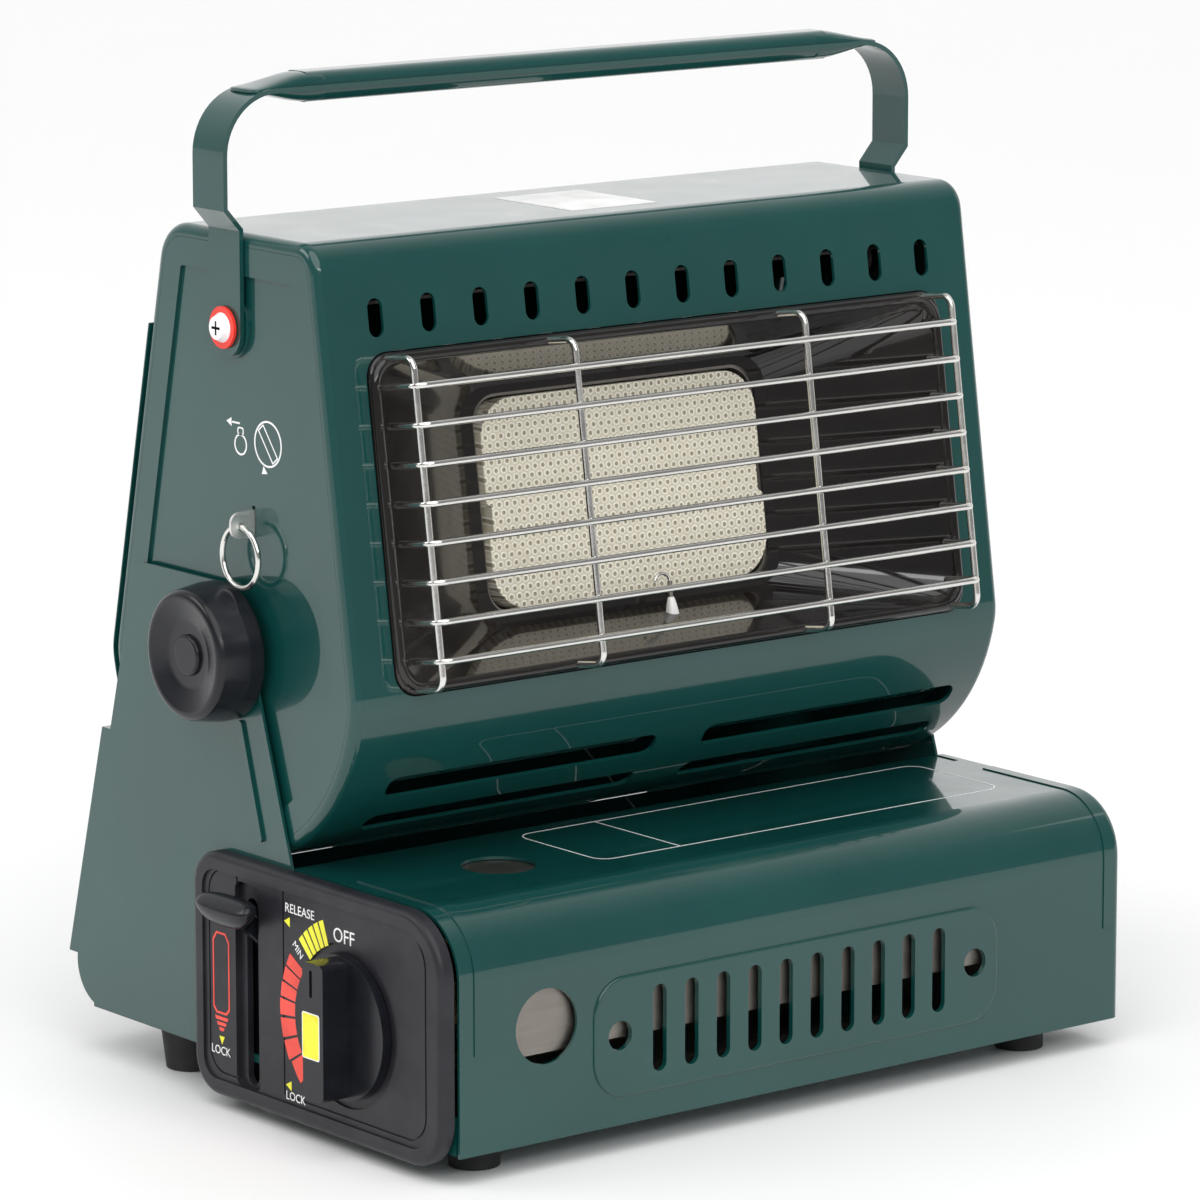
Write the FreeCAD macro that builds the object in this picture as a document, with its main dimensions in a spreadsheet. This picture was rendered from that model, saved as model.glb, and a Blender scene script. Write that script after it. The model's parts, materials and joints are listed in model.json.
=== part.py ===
import FreeCAD, Part
import math
import os
import Sketcher
from FreeCAD import Placement, Rotation, Vector

# Portable gas cartridge heater: a tilting radiant head on a folded stand,
# with a lidded cartridge bay in front and the controls on its left end.
# Frame: millimetres, X to the right, Y to the back, Z up.
# Origin: middle of the outer box on the surface that the feet stand on.

SIZES = (
    # stock
    ("sheet", 1.0),
    ("shell_sheet", 1.2),
    ("play", 0.3),
    ("shaft_play", 0.05),
    # overall
    ("depth", 210.0),
    ("reach", 150.0),
    ("lift", 9.0),
    # stand
    ("knob_depth", 16.5),
    ("stand_low", 17.4),
    ("stand_top", 168.3),
    ("stand_lean", 15.1),
    ("stand_front_lean", 18.0),
    ("stand_front_foot", 84.0),
    ("stand_corner", 14.0),
    ("rear_panel_step", 4.5),
    ("rear_panel_low", 33.2),
    ("rear_panel_top", 111.0),
    # cartridge lid
    ("lid_left_step", 1.3),
    ("lid_right_step", 5.8),
    ("lid_height", 74.0),
    ("lid_depth", 86.0),
    ("lid_corner", 20.0),
    ("lid_edge", 3.0),
    ("lid_rise", 0.8),
    ("lid_pin_back", 80.0),
    ("lid_pin_height", 75.5),
    ("lid_pin_radius", 2.0),
    ("lid_vent_pitch", 12.7),
    ("lid_vent_count", 10),
    ("lid_vent_width", 5.4),
    ("lid_vent_length", 27.5),
    ("lid_vent_height", 37.6),
    ("lid_vent_middle", 1.85),
    ("lid_hole_radius", 4.6),
    ("lid_window_radius", 11.8),
    ("lid_window_inset", 33.1),
    ("lid_window_height", 45.0),
    ("lid_top_hole_inset", 52.9),
    ("lid_top_hole_back", 50.5),
    # base pan and feet
    ("pan_step", 95.0),
    ("pan_low", 9.5),
    ("pan_rim", 12.0),
    ("front_foot_radius", 8.0),
    ("front_foot_inset", 21.2),
    ("front_foot_back", 20.0),
    ("rear_foot_radius", 10.5),
    ("rear_foot_toe", 8.5),
    ("rear_foot_inset", 19.2),
    ("rear_foot_back", 168.0),
    # head
    ("head_gap", 0.7),
    ("pivot_back", 118.5),
    ("pivot_height", 147.3),
    ("drum_radius", 66.5),
    ("face_distance", 63.8),
    ("back_distance", 62.4),
    ("front_lean", 8.4),
    ("rear_lean", 12.0),
    ("head_top", 278.5),
    ("head_front_round", 10.0),
    ("head_rear_round", 14.0),
    ("head_edge", 3.2),
    ("head_ease", 20.0),
    ("side_flange", 4.0),
    ("side_border", 9.0),
    ("side_dish", 1.0),
    ("head_split", 237.0),
    # head front
    ("window_inset", 15.5),
    ("window_height", 106.0),
    ("window_low", -17.0),
    ("window_round", 8.0),
    ("head_vent_count", 12),
    ("head_vent_width", 5.6),
    ("head_vent_length", 12.0),
    ("head_vent_gap", 10.6),
    ("louvre_gap", 20.0),
    ("louvre_inset", 15.5),
    ("louvre_shift", 4.0),
    ("louvre_first", 31.0),
    ("louvre_step", 15.5),
    ("louvre_span", 7.5),
    ("louvre_sink", 4.5),
    ("louvre_count", 3),
    # burner
    ("bowl_rim", 8.0),
    ("bowl_rim_height", 7.0),
    ("bowl_depth", 27.0),
    ("bowl_back_width", 124.0),
    ("bowl_back_height", 75.0),
    ("tile_width", 112.0),
    ("tile_height", 67.0),
    ("tile_round", 8.0),
    ("tile_depth", 13.0),
    ("burner_depth", 24.0),
    ("mixer_radius", 9.0),
    ("spark_side", 9.0),
    ("spark_depth", 19.0),
    ("spark_radius", 2.4),
    ("spark_length", 13.0),
    # guard
    ("guard_count", 8),
    ("guard_pitch", 12.05),
    ("guard_over", 1.5),
    ("guard_reach", 16.9),
    ("guard_wire", 2.2),
    ("guard_rod_inner", 46.5),
    ("guard_rod_step", 0.7),
    # handle
    ("handle_back", 117.5),
    ("handle_pivot", 248.9),
    ("handle_step", 7.5),
    ("handle_bend", 20.0),
    ("handle_top", 322.5),
    ("handle_width", 16.5),
    ("handle_strip", 1.5),
    ("grip_inset", 34.0),
    ("grip_height", 9.5),
    ("grip_depth", 15.0),
    ("screw_radius", 2.5),
    # tilt knobs
    ("bolt_radius", 3.0),
    ("knob_radius", 22.0),
    ("knob_face", 20.2),
    ("knob_cap", 6.5),
    ("knob_crown", 0.74),
    ("rail_offset", 20.0),
    ("rail_start", 46.0),
    ("rail_length", 150.0),
    ("rail_width", 3.0),
    ("lid_field_height", 38.0),
    ("lid_field_round", 12.0),
    ("lid_hole_step", 15.5),
    ("bead_tail", 60.0),
    ("bead_foot", 31.0),
    ("bead_width", 4.5),
    ("ear_sheet", 1.2),
    ("liner_gap", 1.6),
    ("liner_foot", 27.0),
    ("liner_tail", 70.0),
    ("panel_edge", 2.2),
    ("panel_rim", 5.5),
    ("panel_sink", 0.8),
    ("groove_width", 0.7),
    ("groove_depth", 0.5),
    ("lever_well_width", 13.0),
    ("lever_well_height", 66.0),
    ("lever_arm", 50.0),
    ("dial_skirt", 5.5),
    ("dial_socket", 6.0),
    ("carrier_sheet", 1.5),
    ("carrier_width", 14.0),
    ("carrier_tab", 44.0),
    ("boss_radius", 10.0),
    ("bowl_lip", 1.2),
    ("mixer_length", 44.0),
    # control panel
    ("panel_depth", 5.0),
    ("panel_back", 132.0),
    ("panel_front", 1.6),
    ("panel_drop", 4.5),
    ("panel_round", 12.0),
    ("dial_back", 51.0),
    ("dial_height", 41.0),
    ("dial_radius", 24.3),
    ("dial_bar_width", 11.0),
    ("dial_bar_length", 44.0),
    ("spindle_radius", 3.5),
    ("lever_back", 103.0),
    ("lever_height", 40.0),
    ("lever_pivot_step", 21.2),
    ("lever_blade", 4.0),
    ("lever_pin_radius", 2.0),
    ("lever_rest", 43.0),
    # cartridge
    ("cartridge_radius", 33.5),
    ("cartridge_length", 186.0),
    ("cartridge_back", 42.0),
    ("cartridge_height", 47.0),
    # child lock
    ("lock_back", 107.0),
    ("lock_height", 188.5),
    ("ring_radius", 9.6),
    ("ring_wire", 1.8),
)

doc = FreeCAD.newDocument("heater")


class Dim:
    """A size that keeps its value and the sheet expression behind it."""

    def __init__(self, value, text):
        self.value = float(value)
        self.text = text

    def __add__(self, other):
        other = dim(other)
        return Dim(self.value + other.value, f"({self.text} + {other.text})")

    def __radd__(self, other):
        return dim(other) + self

    def __sub__(self, other):
        other = dim(other)
        return Dim(self.value - other.value, f"({self.text} - {other.text})")

    def __rsub__(self, other):
        return dim(other) - self

    def __mul__(self, other):
        other = dim(other)
        return Dim(self.value * other.value, f"({self.text} * {other.text})")

    def __rmul__(self, other):
        return dim(other) * self

    def __truediv__(self, other):
        other = dim(other)
        return Dim(self.value / other.value, f"({self.text} / {other.text})")

    def __rtruediv__(self, other):
        return dim(other) / self

    def __neg__(self):
        return Dim(-self.value, f"(0 - {self.text})")


def dim(value):
    if isinstance(value, Dim):
        return value
    return Dim(value, f"({float(value):.6f})")


def sin(angle):
    angle = dim(angle)
    return Dim(math.sin(math.radians(angle.value)), f"sin({angle.text} * 1 deg)")


def cos(angle):
    angle = dim(angle)
    return Dim(math.cos(math.radians(angle.value)), f"cos({angle.text} * 1 deg)")


def root(number):
    number = dim(number)
    return Dim(math.sqrt(number.value), f"sqrt({number.text})")


class Sizes:
    """The driving dimensions, read by name."""

    def __init__(self, rows):
        sheet = doc.addObject("Spreadsheet::Sheet", "sizes")
        for row, (alias, value) in enumerate(rows, start=1):
            sheet.set(f"A{row}", alias)
            sheet.set(f"B{row}", str(value))
            sheet.setAlias(f"B{row}", alias)
            setattr(self, alias, Dim(value, f"sizes.{alias}"))


s = Sizes(SIZES)
doc.recompute()

nodes = {}


def keep(name, piece):
    """Register a finished sub-part under the name of its file."""
    piece.Label = name
    nodes[name] = piece
    return piece


# Feature helpers

def origin_feature(body, role):
    return [item for item in body.Origin.OriginFeatures if item.Role == role][0]


def new_body(name):
    body = doc.addObject("PartDesign::Body", name)
    return body


def new_sketch(body, name, role, offset=0.0):
    """A sketch on an origin plane of its body, lifted along the plane's normal."""
    sketch = body.newObject("Sketcher::SketchObject", name)
    sketch.AttachmentSupport = [(origin_feature(body, role), "")]
    sketch.MapMode = "FlatFace"
    offset = dim(offset)
    sketch.AttachmentOffset = Placement(Vector(0, 0, offset.value), Rotation())
    sketch.setExpression("AttachmentOffset.Base.z", offset.text)
    return sketch


def lean_sketch(sketch, y_pos, z_pos, angle):
    """Turn an XZ sketch so that it lies in the leaning front face."""
    turn = Rotation(Vector(-1, 0, 0), angle.value)
    sketch.AttachmentOffset = Placement(Vector(0, z_pos.value, -y_pos.value), turn)
    sketch.setExpression("AttachmentOffset.Base.y", z_pos.text)
    sketch.setExpression("AttachmentOffset.Base.z", (-y_pos).text)
    sketch.setExpression("AttachmentOffset.Rotation.Angle", angle.text)


class Rules:
    """Collects constraints and the expressions that drive them."""

    def __init__(self, sketch):
        self.sketch = sketch
        self.items = []
        self.bound = []

    def add(self, *args):
        self.items.append(Sketcher.Constraint(*args))

    def drive(self, kind, *args):
        value = dim(args[-1])
        self.items.append(Sketcher.Constraint(kind, *args[:-1], value.value))
        self.bound.append((len(self.items) - 1, value.text))

    def place(self, geo, spot, x, y):
        self.drive("DistanceX", -1, 1, geo, spot, x)
        self.drive("DistanceY", -1, 1, geo, spot, y)

    def apply(self):
        first = self.sketch.ConstraintCount
        self.sketch.addConstraint(self.items)
        for index, text in self.bound:
            self.sketch.setExpression(f"Constraints[{first + index}]", text)



def unit(ax, ay, bx, by):
    length = math.hypot(bx - ax, by - ay)
    return (bx - ax) / length, (by - ay) / length


def centre_of(ax, ay, bx, by, radius, side):
    """Centre of the short arc from a to b, on its left for side 1."""
    half = math.hypot(bx - ax, by - ay) / 2
    away = math.sqrt(max(radius * radius - half * half, 0.0))
    ux, uy = unit(ax, ay, bx, by)
    return (ax + bx) / 2 - uy * away * side, (ay + by) / 2 + ux * away * side


def arc_through(cx, cy, radius, start, end):
    circle = Part.Circle(Vector(cx, cy, 0), Vector(0, 0, 1), radius)
    first = math.atan2(start[1] - cy, start[0] - cx)
    last = math.atan2(end[1] - cy, end[0] - cx)
    if last <= first:
        last += 2 * math.pi
    return Part.ArcOfCircle(circle, first, last)


def outline(sketch, corners, closed=True):
    """Draw a path of straight and arc runs.

    A corner is (x, y), (x, y, round) or (x, y, 0, radius, side). The last form
    makes the run that leaves the corner an arc, with its centre on side 1, left,
    or side -1, right.
    """
    count = len(corners)
    xs = [dim(corner[0]) for corner in corners]
    ys = [dim(corner[1]) for corner in corners]
    rounds = [dim(corner[2]) if len(corner) > 2 else dim(0) for corner in corners]
    rules = Rules(sketch)
    base = sketch.GeometryCount
    spots = [Part.Point(Vector(x.value, y.value, 0)) for x, y in zip(xs, ys)]
    sketch.addGeometry(spots, True)
    for index in range(count):
        rules.place(base + index, 1, xs[index], ys[index])
    starts = {}
    ends = {}
    for index in range(count):
        here = (xs[index].value, ys[index].value)
        starts[index] = here
        ends[index] = here
        if rounds[index].value > 0:
            last = (index - 1) % count
            after = (index + 1) % count
            ux, uy = unit(*here, xs[last].value, ys[last].value)
            vx, vy = unit(*here, xs[after].value, ys[after].value)
            angle = math.acos(max(-1.0, min(1.0, ux * vx + uy * vy)))
            trim = rounds[index].value / math.tan(angle / 2)
            ends[index] = (here[0] + ux * trim, here[1] + uy * trim)
            starts[index] = (here[0] + vx * trim, here[1] + vy * trim)
    runs = {}
    total = count if closed else count - 1
    for index in range(total):
        after = (index + 1) % count
        a, b = starts[index], ends[after]
        corner = corners[index]
        if len(corner) > 3:
            radius, side = dim(corner[3]), corner[4]
            cx, cy = centre_of(*a, *b, radius.value, side)
            first, second = (a, b) if side > 0 else (b, a)
            geo = sketch.addGeometry(arc_through(cx, cy, radius.value, first, second))
            ends_of = (1, 2) if side > 0 else (2, 1)
            rules.add("Coincident", geo, ends_of[0], base + index, 1)
            rules.add("Coincident", geo, ends_of[1], base + after, 1)
            rules.drive("Radius", geo, radius)
            runs[index] = (geo, *ends_of)
            continue
        geo = sketch.addGeometry(Part.LineSegment(Vector(*a, 0), Vector(*b, 0)))
        runs[index] = (geo, 1, 2)
        for spot, which in ((1, index), (2, after)):
            if rounds[which].value > 0:
                rules.add("PointOnObject", base + which, 1, geo)
            else:
                rules.add("Coincident", geo, spot, base + which, 1)
    for index in range(count):
        if rounds[index].value <= 0:
            continue
        before, after = runs[(index - 1) % count], runs[index]
        a, b = ends[index], starts[index]
        here = (xs[index].value, ys[index].value)
        turn = (here[0] - a[0]) * (b[1] - here[1]) - (here[1] - a[1]) * (b[0] - here[0])
        side = 1 if turn > 0 else -1
        cx, cy = centre_of(*a, *b, rounds[index].value, side)
        first, second = (a, b) if side > 0 else (b, a)
        geo = sketch.addGeometry(arc_through(cx, cy, rounds[index].value, first, second))
        into, out = (1, 2) if side > 0 else (2, 1)
        rules.add("Tangent", before[0], before[2], geo, into)
        rules.add("Tangent", geo, out, after[0], after[1])
        rules.drive("Radius", geo, rounds[index])
    rules.apply()
    return sketch


def circle(sketch, x, y, radius):
    x, y, radius = dim(x), dim(y), dim(radius)
    rules = Rules(sketch)
    geo = sketch.addGeometry(Part.Circle(Vector(x.value, y.value, 0), Vector(0, 0, 1), radius.value))
    rules.place(geo, 3, x, y)
    rules.drive("Radius", geo, radius)
    rules.apply()
    return sketch


def box_outline(sketch, x, y, width, height, corner=0):
    """A rectangle about (x, y), with rounded corners."""
    x, y, width, height = dim(x), dim(y), dim(width), dim(height)
    return outline(sketch, [
        (x - width / 2, y - height / 2, corner),
        (x + width / 2, y - height / 2, corner),
        (x + width / 2, y + height / 2, corner),
        (x - width / 2, y + height / 2, corner),
    ])


def slot_outline(sketch, x, y, width, length):
    """An upright slot with half-round ends about (x, y)."""
    x, y, width, length = dim(x), dim(y), dim(width), dim(length)
    radius = width / 2
    low, high = y - length / 2 + radius, y + length / 2 - radius
    left, right = x - radius, x + radius
    top = sketch.addGeometry(arc_through(x.value, high.value, radius.value,
                                         (right.value, high.value), (left.value, high.value)))
    bottom = sketch.addGeometry(arc_through(x.value, low.value, radius.value,
                                            (left.value, low.value), (right.value, low.value)))
    left_run = sketch.addGeometry(Part.LineSegment(Vector(left.value, high.value, 0),
                                                   Vector(left.value, low.value, 0)))
    right_run = sketch.addGeometry(Part.LineSegment(Vector(right.value, low.value, 0),
                                                    Vector(right.value, high.value, 0)))
    rules = Rules(sketch)
    rules.add("Tangent", top, 2, left_run, 1)
    rules.add("Tangent", left_run, 2, bottom, 1)
    rules.add("Tangent", bottom, 2, right_run, 1)
    rules.add("Tangent", right_run, 2, top, 1)
    rules.add("Equal", top, bottom)
    rules.place(top, 3, x, high)
    rules.place(bottom, 3, x, low)
    rules.drive("Radius", top, radius)
    rules.apply()
    return sketch


def pad(body, sketch, length, symmetric=False, reverse=False):
    feature = body.newObject("PartDesign::Pad", sketch.Name + "_pad")
    feature.Profile = sketch
    feature.SideType = "Symmetric" if symmetric else "One side"
    feature.Reversed = reverse
    feature.Length = dim(length).value
    feature.setExpression("Length", dim(length).text)
    doc.recompute()
    return feature


def pocket(body, sketch, length, symmetric=False, reverse=False):
    """Cut the sketch into the body and make sure that it removed something."""
    before = body.Shape.Volume
    feature = body.newObject("PartDesign::Pocket", sketch.Name + "_cut")
    feature.Profile = sketch
    feature.Type = "Length"
    feature.SideType = "Symmetric" if symmetric else "One side"
    feature.Reversed = reverse
    feature.Length = dim(length).value
    feature.setExpression("Length", dim(length).text)
    doc.recompute()
    if body.Shape.Volume >= before - 0.01:
        raise RuntimeError(f"{sketch.Name} cuts nothing")
    return feature


def row(body, features, role, pitch, count):
    """Repeat features along an origin axis of the body."""
    feature = body.newObject("PartDesign::LinearPattern", features[0].Name + "_row")
    feature.Originals = features
    feature.Direction = (origin_feature(body, role), [""])
    feature.Occurrences = int(count.value)
    length = pitch * (count - 1)
    feature.Length = length.value
    feature.setExpression("Length", length.text)
    feature.setExpression("Occurrences", count.text)
    body.Tip = feature
    doc.recompute()
    return feature


def mirror(body, features, role="YZ_Plane"):
    feature = body.newObject("PartDesign::Mirrored", features[0].Name + "_twin")
    feature.Originals = features
    feature.MirrorPlane = (origin_feature(body, role), [""])
    body.Tip = feature
    doc.recompute()
    return feature


def fillet(body, base, radius, pick):
    """Round the edges of the last feature that the test picks."""
    names = [f"Edge{number}" for number, edge in enumerate(base.Shape.Edges, start=1) if pick(edge)]
    feature = body.newObject("PartDesign::Fillet", base.Name + "_round")
    feature.Base = (base, names)
    feature.Radius = dim(radius).value
    feature.setExpression("Radius", dim(radius).text)
    doc.recompute()
    return feature


def at_x(side):
    """Picks edges that lie in the plane x = side."""
    def pick(edge):
        box = edge.BoundBox
        return abs(box.XMin - side.value) < 1e-4 and abs(box.XMax - side.value) < 1e-4
    return pick


def set_place(piece, x, y, z, axis=None, angle=0):
    x, y, z = dim(x), dim(y), dim(z)
    turn = Rotation(axis, angle) if axis is not None else Rotation()
    piece.Placement = Placement(Vector(x.value, y.value, z.value), turn)
    piece.setExpression("Placement.Base.x", x.text)
    piece.setExpression("Placement.Base.y", y.text)
    piece.setExpression("Placement.Base.z", z.text)
    return piece


TURNS = {"x": (Vector(0, 1, 0), 90), "y": (Vector(1, 0, 0), -90), "z": (None, 0)}


def solid(kind, name, sizes, x, y, z, axis="z"):
    piece = doc.addObject(kind, name)
    for key, value in sizes.items():
        value = dim(value)
        setattr(piece, key, value.value)
        piece.setExpression(key, value.text)
    set_place(piece, x, y, z, *TURNS[axis])
    return piece


def rod(name, radius, length, x, y, z, axis="x"):
    """A cylinder from (x, y, z) along an axis."""
    return solid("Part::Cylinder", name, {"Radius": radius, "Height": length}, x, y, z, axis)


def taper(name, radius, end_radius, length, x, y, z, axis="x"):
    sizes = {"Radius1": radius, "Radius2": end_radius, "Height": length}
    return solid("Part::Cone", name, sizes, x, y, z, axis)


def block(name, width, deep, high, x, y, z):
    """A box from its low corner."""
    return solid("Part::Box", name, {"Length": width, "Width": deep, "Height": high}, x, y, z)


def fuse(name, pieces):
    joined = doc.addObject("Part::MultiFuse", name)
    joined.Shapes = pieces
    return joined


def cut(name, base, tools):
    result = doc.addObject("Part::Cut", name)
    result.Base = base
    result.Tool = tools[0] if len(tools) == 1 else fuse(name + "_tools", tools)
    return result


def group(name, pieces):
    joined = doc.addObject("Part::Compound", name)
    joined.Links = pieces
    return joined


def pair(name, piece):
    """The piece and its mirror image on the other side."""
    twin = doc.addObject("Part::Mirroring", name + "_twin")
    twin.Source = piece
    twin.Base = Vector(0, 0, 0)
    twin.Normal = Vector(1, 0, 0)
    return group(name, [piece, twin])


# Places shared by several pieces

front = -s.depth / 2
stand_half = s.reach - s.knob_depth - s.play
stand_inner = stand_half - s.sheet
head_half = stand_inner - s.head_gap
lid_left = stand_half - s.lid_left_step
lid_right = stand_half + s.lid_right_step
handle_half = head_half + s.handle_step
window_width = (head_half - s.window_inset) * 2
window_middle = s.window_low + s.window_height / 2
bowl_width = window_width - s.bowl_rim * 2
bowl_height = s.window_height - s.bowl_rim_height * 2
guard_half = bowl_width / 2 + s.guard_over
mixer_deep = -s.bowl_depth - s.sheet - s.tile_depth - 5
louvre_length = head_half - s.louvre_inset - s.louvre_gap / 2
louvre_middle = (head_half - s.louvre_inset + s.louvre_gap / 2) / 2
vent_pitch = (window_width - 10.9) / (s.head_vent_count - 1)
valve_x = -stand_inner + 6.2
lever_pivot_x = -(stand_half - s.lever_pivot_step)
dial_back_x = -stand_half - s.panel_depth + s.panel_sink
lid_low = s.lift
lid_high = s.lift + s.lid_height
pivot_y = front + s.pivot_back
pivot_z = s.pivot_height
handle_y = front + s.handle_back
lever_y = front + s.lever_back
dial_y = front + s.dial_back
lock_y = front + s.lock_back
cart_y = front + s.cartridge_back
side_face = head_half - s.side_dish
side_inner = side_face - s.sheet
pan_top = s.pan_low + s.sheet

face_sin, face_cos = sin(s.front_lean), cos(s.front_lean)
face_y = pivot_y - s.face_distance * face_cos
face_z = pivot_z + s.face_distance * face_sin


def face_body(name):
    """A body whose XY plane lies in the leaning front face, X right, Y up it."""
    body = new_body(name)
    turn = dim(90) - s.front_lean
    body.Placement = Placement(Vector(0, face_y.value, face_z.value), Rotation(Vector(1, 0, 0), turn.value))
    body.setExpression("Placement.Base.y", face_y.text)
    body.setExpression("Placement.Base.z", face_z.text)
    body.setExpression("Placement.Rotation.Angle", turn.text)
    return body


def head_corners(inset):
    """Side outline of the head, drawn in by inset: drum below, two leaning faces above."""
    inset = dim(inset)
    radius = s.drum_radius - inset
    near = s.face_distance - inset
    far = s.back_distance - inset
    top = s.head_top - inset
    rear_sin, rear_cos = sin(s.rear_lean), cos(s.rear_lean)
    drop = root(radius * radius - near * near)
    fall = root(radius * radius - far * far)
    low_front = (pivot_y - near * face_cos - drop * face_sin, pivot_z + near * face_sin - drop * face_cos)
    low_rear = (pivot_y + far * rear_cos + fall * rear_sin, pivot_z + far * rear_sin - fall * rear_cos)
    rise = (top - pivot_z - near * face_sin) / face_cos
    climb = (top - pivot_z - far * rear_sin) / rear_cos
    high_rear = (pivot_y + far * rear_cos - climb * rear_sin, top)
    high_front = (pivot_y - near * face_cos + rise * face_sin, top)
    return [
        (*low_front, 0, radius, 1),
        (*low_rear,),
        (*high_rear, s.head_rear_round - inset),
        (*high_front, s.head_front_round - inset),
    ]


def drum_point(distance, angle):
    """A point at a distance from the pivot, at an angle below the front horizontal."""
    return pivot_y - distance * cos(angle), pivot_z - distance * sin(angle)


# Stand and base

def stand_corners():
    lean_sin, lean_cos = sin(s.stand_lean), cos(s.stand_lean)
    slope = lean_sin / lean_cos
    rear_line = s.depth / 2 - s.rear_panel_step / lean_cos
    rear_low = rear_line + (s.rear_panel_low - s.stand_low) * slope
    rear_high = rear_line - (s.stand_top - s.rear_panel_low) * slope
    toe = front + s.stand_front_foot
    step = lid_high - s.sheet - 1.5
    front_slope = sin(s.stand_front_lean) / cos(s.stand_front_lean)
    front_high = toe + (s.stand_top - step) * front_slope
    return [
        (front + 5, s.stand_low, 4),
        (rear_low, s.stand_low, s.stand_corner),
        (rear_high, s.stand_top, 7),
        (front_high, s.stand_top, 13),
        (toe, step),
        (front + 5, step, s.lid_corner - 4),
    ]


def make_stand(name, side):
    """One stamped side plate of the stand, with its stiffening bead."""
    body = new_body(name)
    left = side < 0
    start = -stand_half if left else stand_inner
    plate = pad(body, outline(new_sketch(body, name + "_plate", "YZ_Plane", start), stand_corners()), s.sheet)
    bead_low = (front + s.stand_front_foot + 15, lid_high + 6)
    bead_high = (front + s.stand_front_foot + 26, lid_high + 43)
    across = 3.0
    bead_start = -stand_half - 1 if left else stand_half
    bead = outline(new_sketch(body, name + "_bead", "YZ_Plane", bead_start), [
        (bead_low[0], bead_low[1], 1.2),
        (bead_low[0] + across, bead_low[1], 1.2),
        (bead_high[0] + across, bead_high[1], 1.2),
        (bead_high[0], bead_high[1], 1.2),
    ])
    pad(body, bead, 1.0)
    hole = circle(new_sketch(body, name + "_bolt_hole", "YZ_Plane", start), pivot_y, pivot_z,
                  s.bolt_radius + s.shaft_play)
    pocket(body, hole, s.sheet * 4, symmetric=True)
    if left:
        opening = box_outline(new_sketch(body, name + "_control_opening", "YZ_Plane", start),
                              front + 72, s.lift + 37, 92, 52, 6)
        pocket(body, opening, s.sheet * 4, symmetric=True)
    keep(name, body)


def make_rear_panel():
    """Shallow pressed tray across the back of the stand."""
    body = new_body("rear_panel")
    lean_sin, lean_cos = sin(s.stand_lean), cos(s.stand_lean)
    slope = lean_sin / lean_cos
    back = s.depth / 2
    step = s.rear_panel_step

    def tray(inset_back, inset_ends):
        low = s.rear_panel_low + inset_ends
        high = s.rear_panel_top - inset_ends
        outer_low = back - inset_back / lean_cos - (low - s.rear_panel_low) * slope
        outer_high = back - inset_back / lean_cos - (high - s.rear_panel_low) * slope
        inner_low = back - step / lean_cos - (low - s.rear_panel_low) * slope
        inner_high = back - step / lean_cos - (high - s.rear_panel_low) * slope
        return [(inner_low, low), (outer_low, low), (outer_high, high), (inner_high, high)]

    pad(body, outline(new_sketch(body, "rear_tray", "YZ_Plane"), tray(dim(0), dim(0))),
        stand_half * 2, symmetric=True)
    inner = outline(new_sketch(body, "rear_hollow", "YZ_Plane"), tray(s.sheet, s.sheet))
    pocket(body, inner, (stand_half - s.sheet) * 2, symmetric=True)
    keep("rear_panel", body)


def make_base_pan():
    """Folded floor: low under the cartridge, stepped up behind it."""
    body = new_body("base_pan")
    low, top = s.pan_low, pan_top
    high_top = s.stand_low
    high_low = high_top - s.sheet
    nose = front + 3
    step = front + s.pan_step
    tail = s.depth / 2 - 12
    rim = low + s.pan_rim
    pad(body, outline(new_sketch(body, "pan_fold", "YZ_Plane"), [
        (nose, rim), (nose, low), (step + s.sheet, low), (step + s.sheet, high_low), (tail, high_low),
        (tail, high_top + 10), (tail - s.sheet, high_top + 10), (tail - s.sheet, high_top), (step, high_top),
        (step, top), (nose + s.sheet, top), (nose + s.sheet, rim),
    ]), (stand_inner - s.play) * 2, symmetric=True)
    end = outline(new_sketch(body, "pan_end", "YZ_Plane", stand_inner - s.play - s.sheet), [
        (nose, low), (step, low), (step, high_top + 4), (nose, rim),
    ])
    wall = pad(body, end, s.sheet)
    mirror(body, [wall])
    keep("base_pan", body)


def make_feet():
    near_x = s.front_foot_inset - stand_half
    near = rod("front_foot_left", s.front_foot_radius, s.pan_low, near_x, front + s.front_foot_back, 0, "z")
    keep("front_feet", pair("front_feet_pair", near))
    tall = s.stand_low - s.sheet
    far_x = s.rear_foot_inset - stand_half
    far = taper("rear_foot_left", s.rear_foot_toe, s.rear_foot_radius, tall, far_x,
                front + s.rear_foot_back, 0, "z")
    keep("rear_feet", pair("rear_feet_pair", far))


def make_rails():
    """Two rails that carry the cartridge."""
    reach = root(s.cartridge_radius * s.cartridge_radius - s.rail_offset * s.rail_offset)
    high = s.cartridge_height - reach - 0.5 - pan_top
    start = valve_x + s.rail_start
    pieces = []
    for name, offset in (("rail_front", -s.rail_offset), ("rail_back", s.rail_offset)):
        low_y = cart_y + offset - s.rail_width / 2
        pieces.append(block(name, s.rail_length, s.rail_width, high, start, low_y, pan_top))
    keep("cartridge_rails", group("cartridge_rail_pair", pieces))


def make_lid_pins():
    length = 6
    pin = rod("lid_pin_left", s.lid_pin_radius, length, -stand_inner, front + s.lid_pin_back,
              s.lid_pin_height)
    keep("lid_pins", pair("lid_pin_pair", pin))


# Cartridge lid

def lid_corners(inset, bottom=None, rear=None):
    inset = dim(inset)
    bottom = lid_low if bottom is None else bottom
    rear = front + s.lid_depth if rear is None else rear
    near = front + s.lid_rise + inset
    top = lid_high - inset
    return [(near, bottom), (rear, bottom), (rear, top), (near, top, s.lid_corner - inset)]


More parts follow.
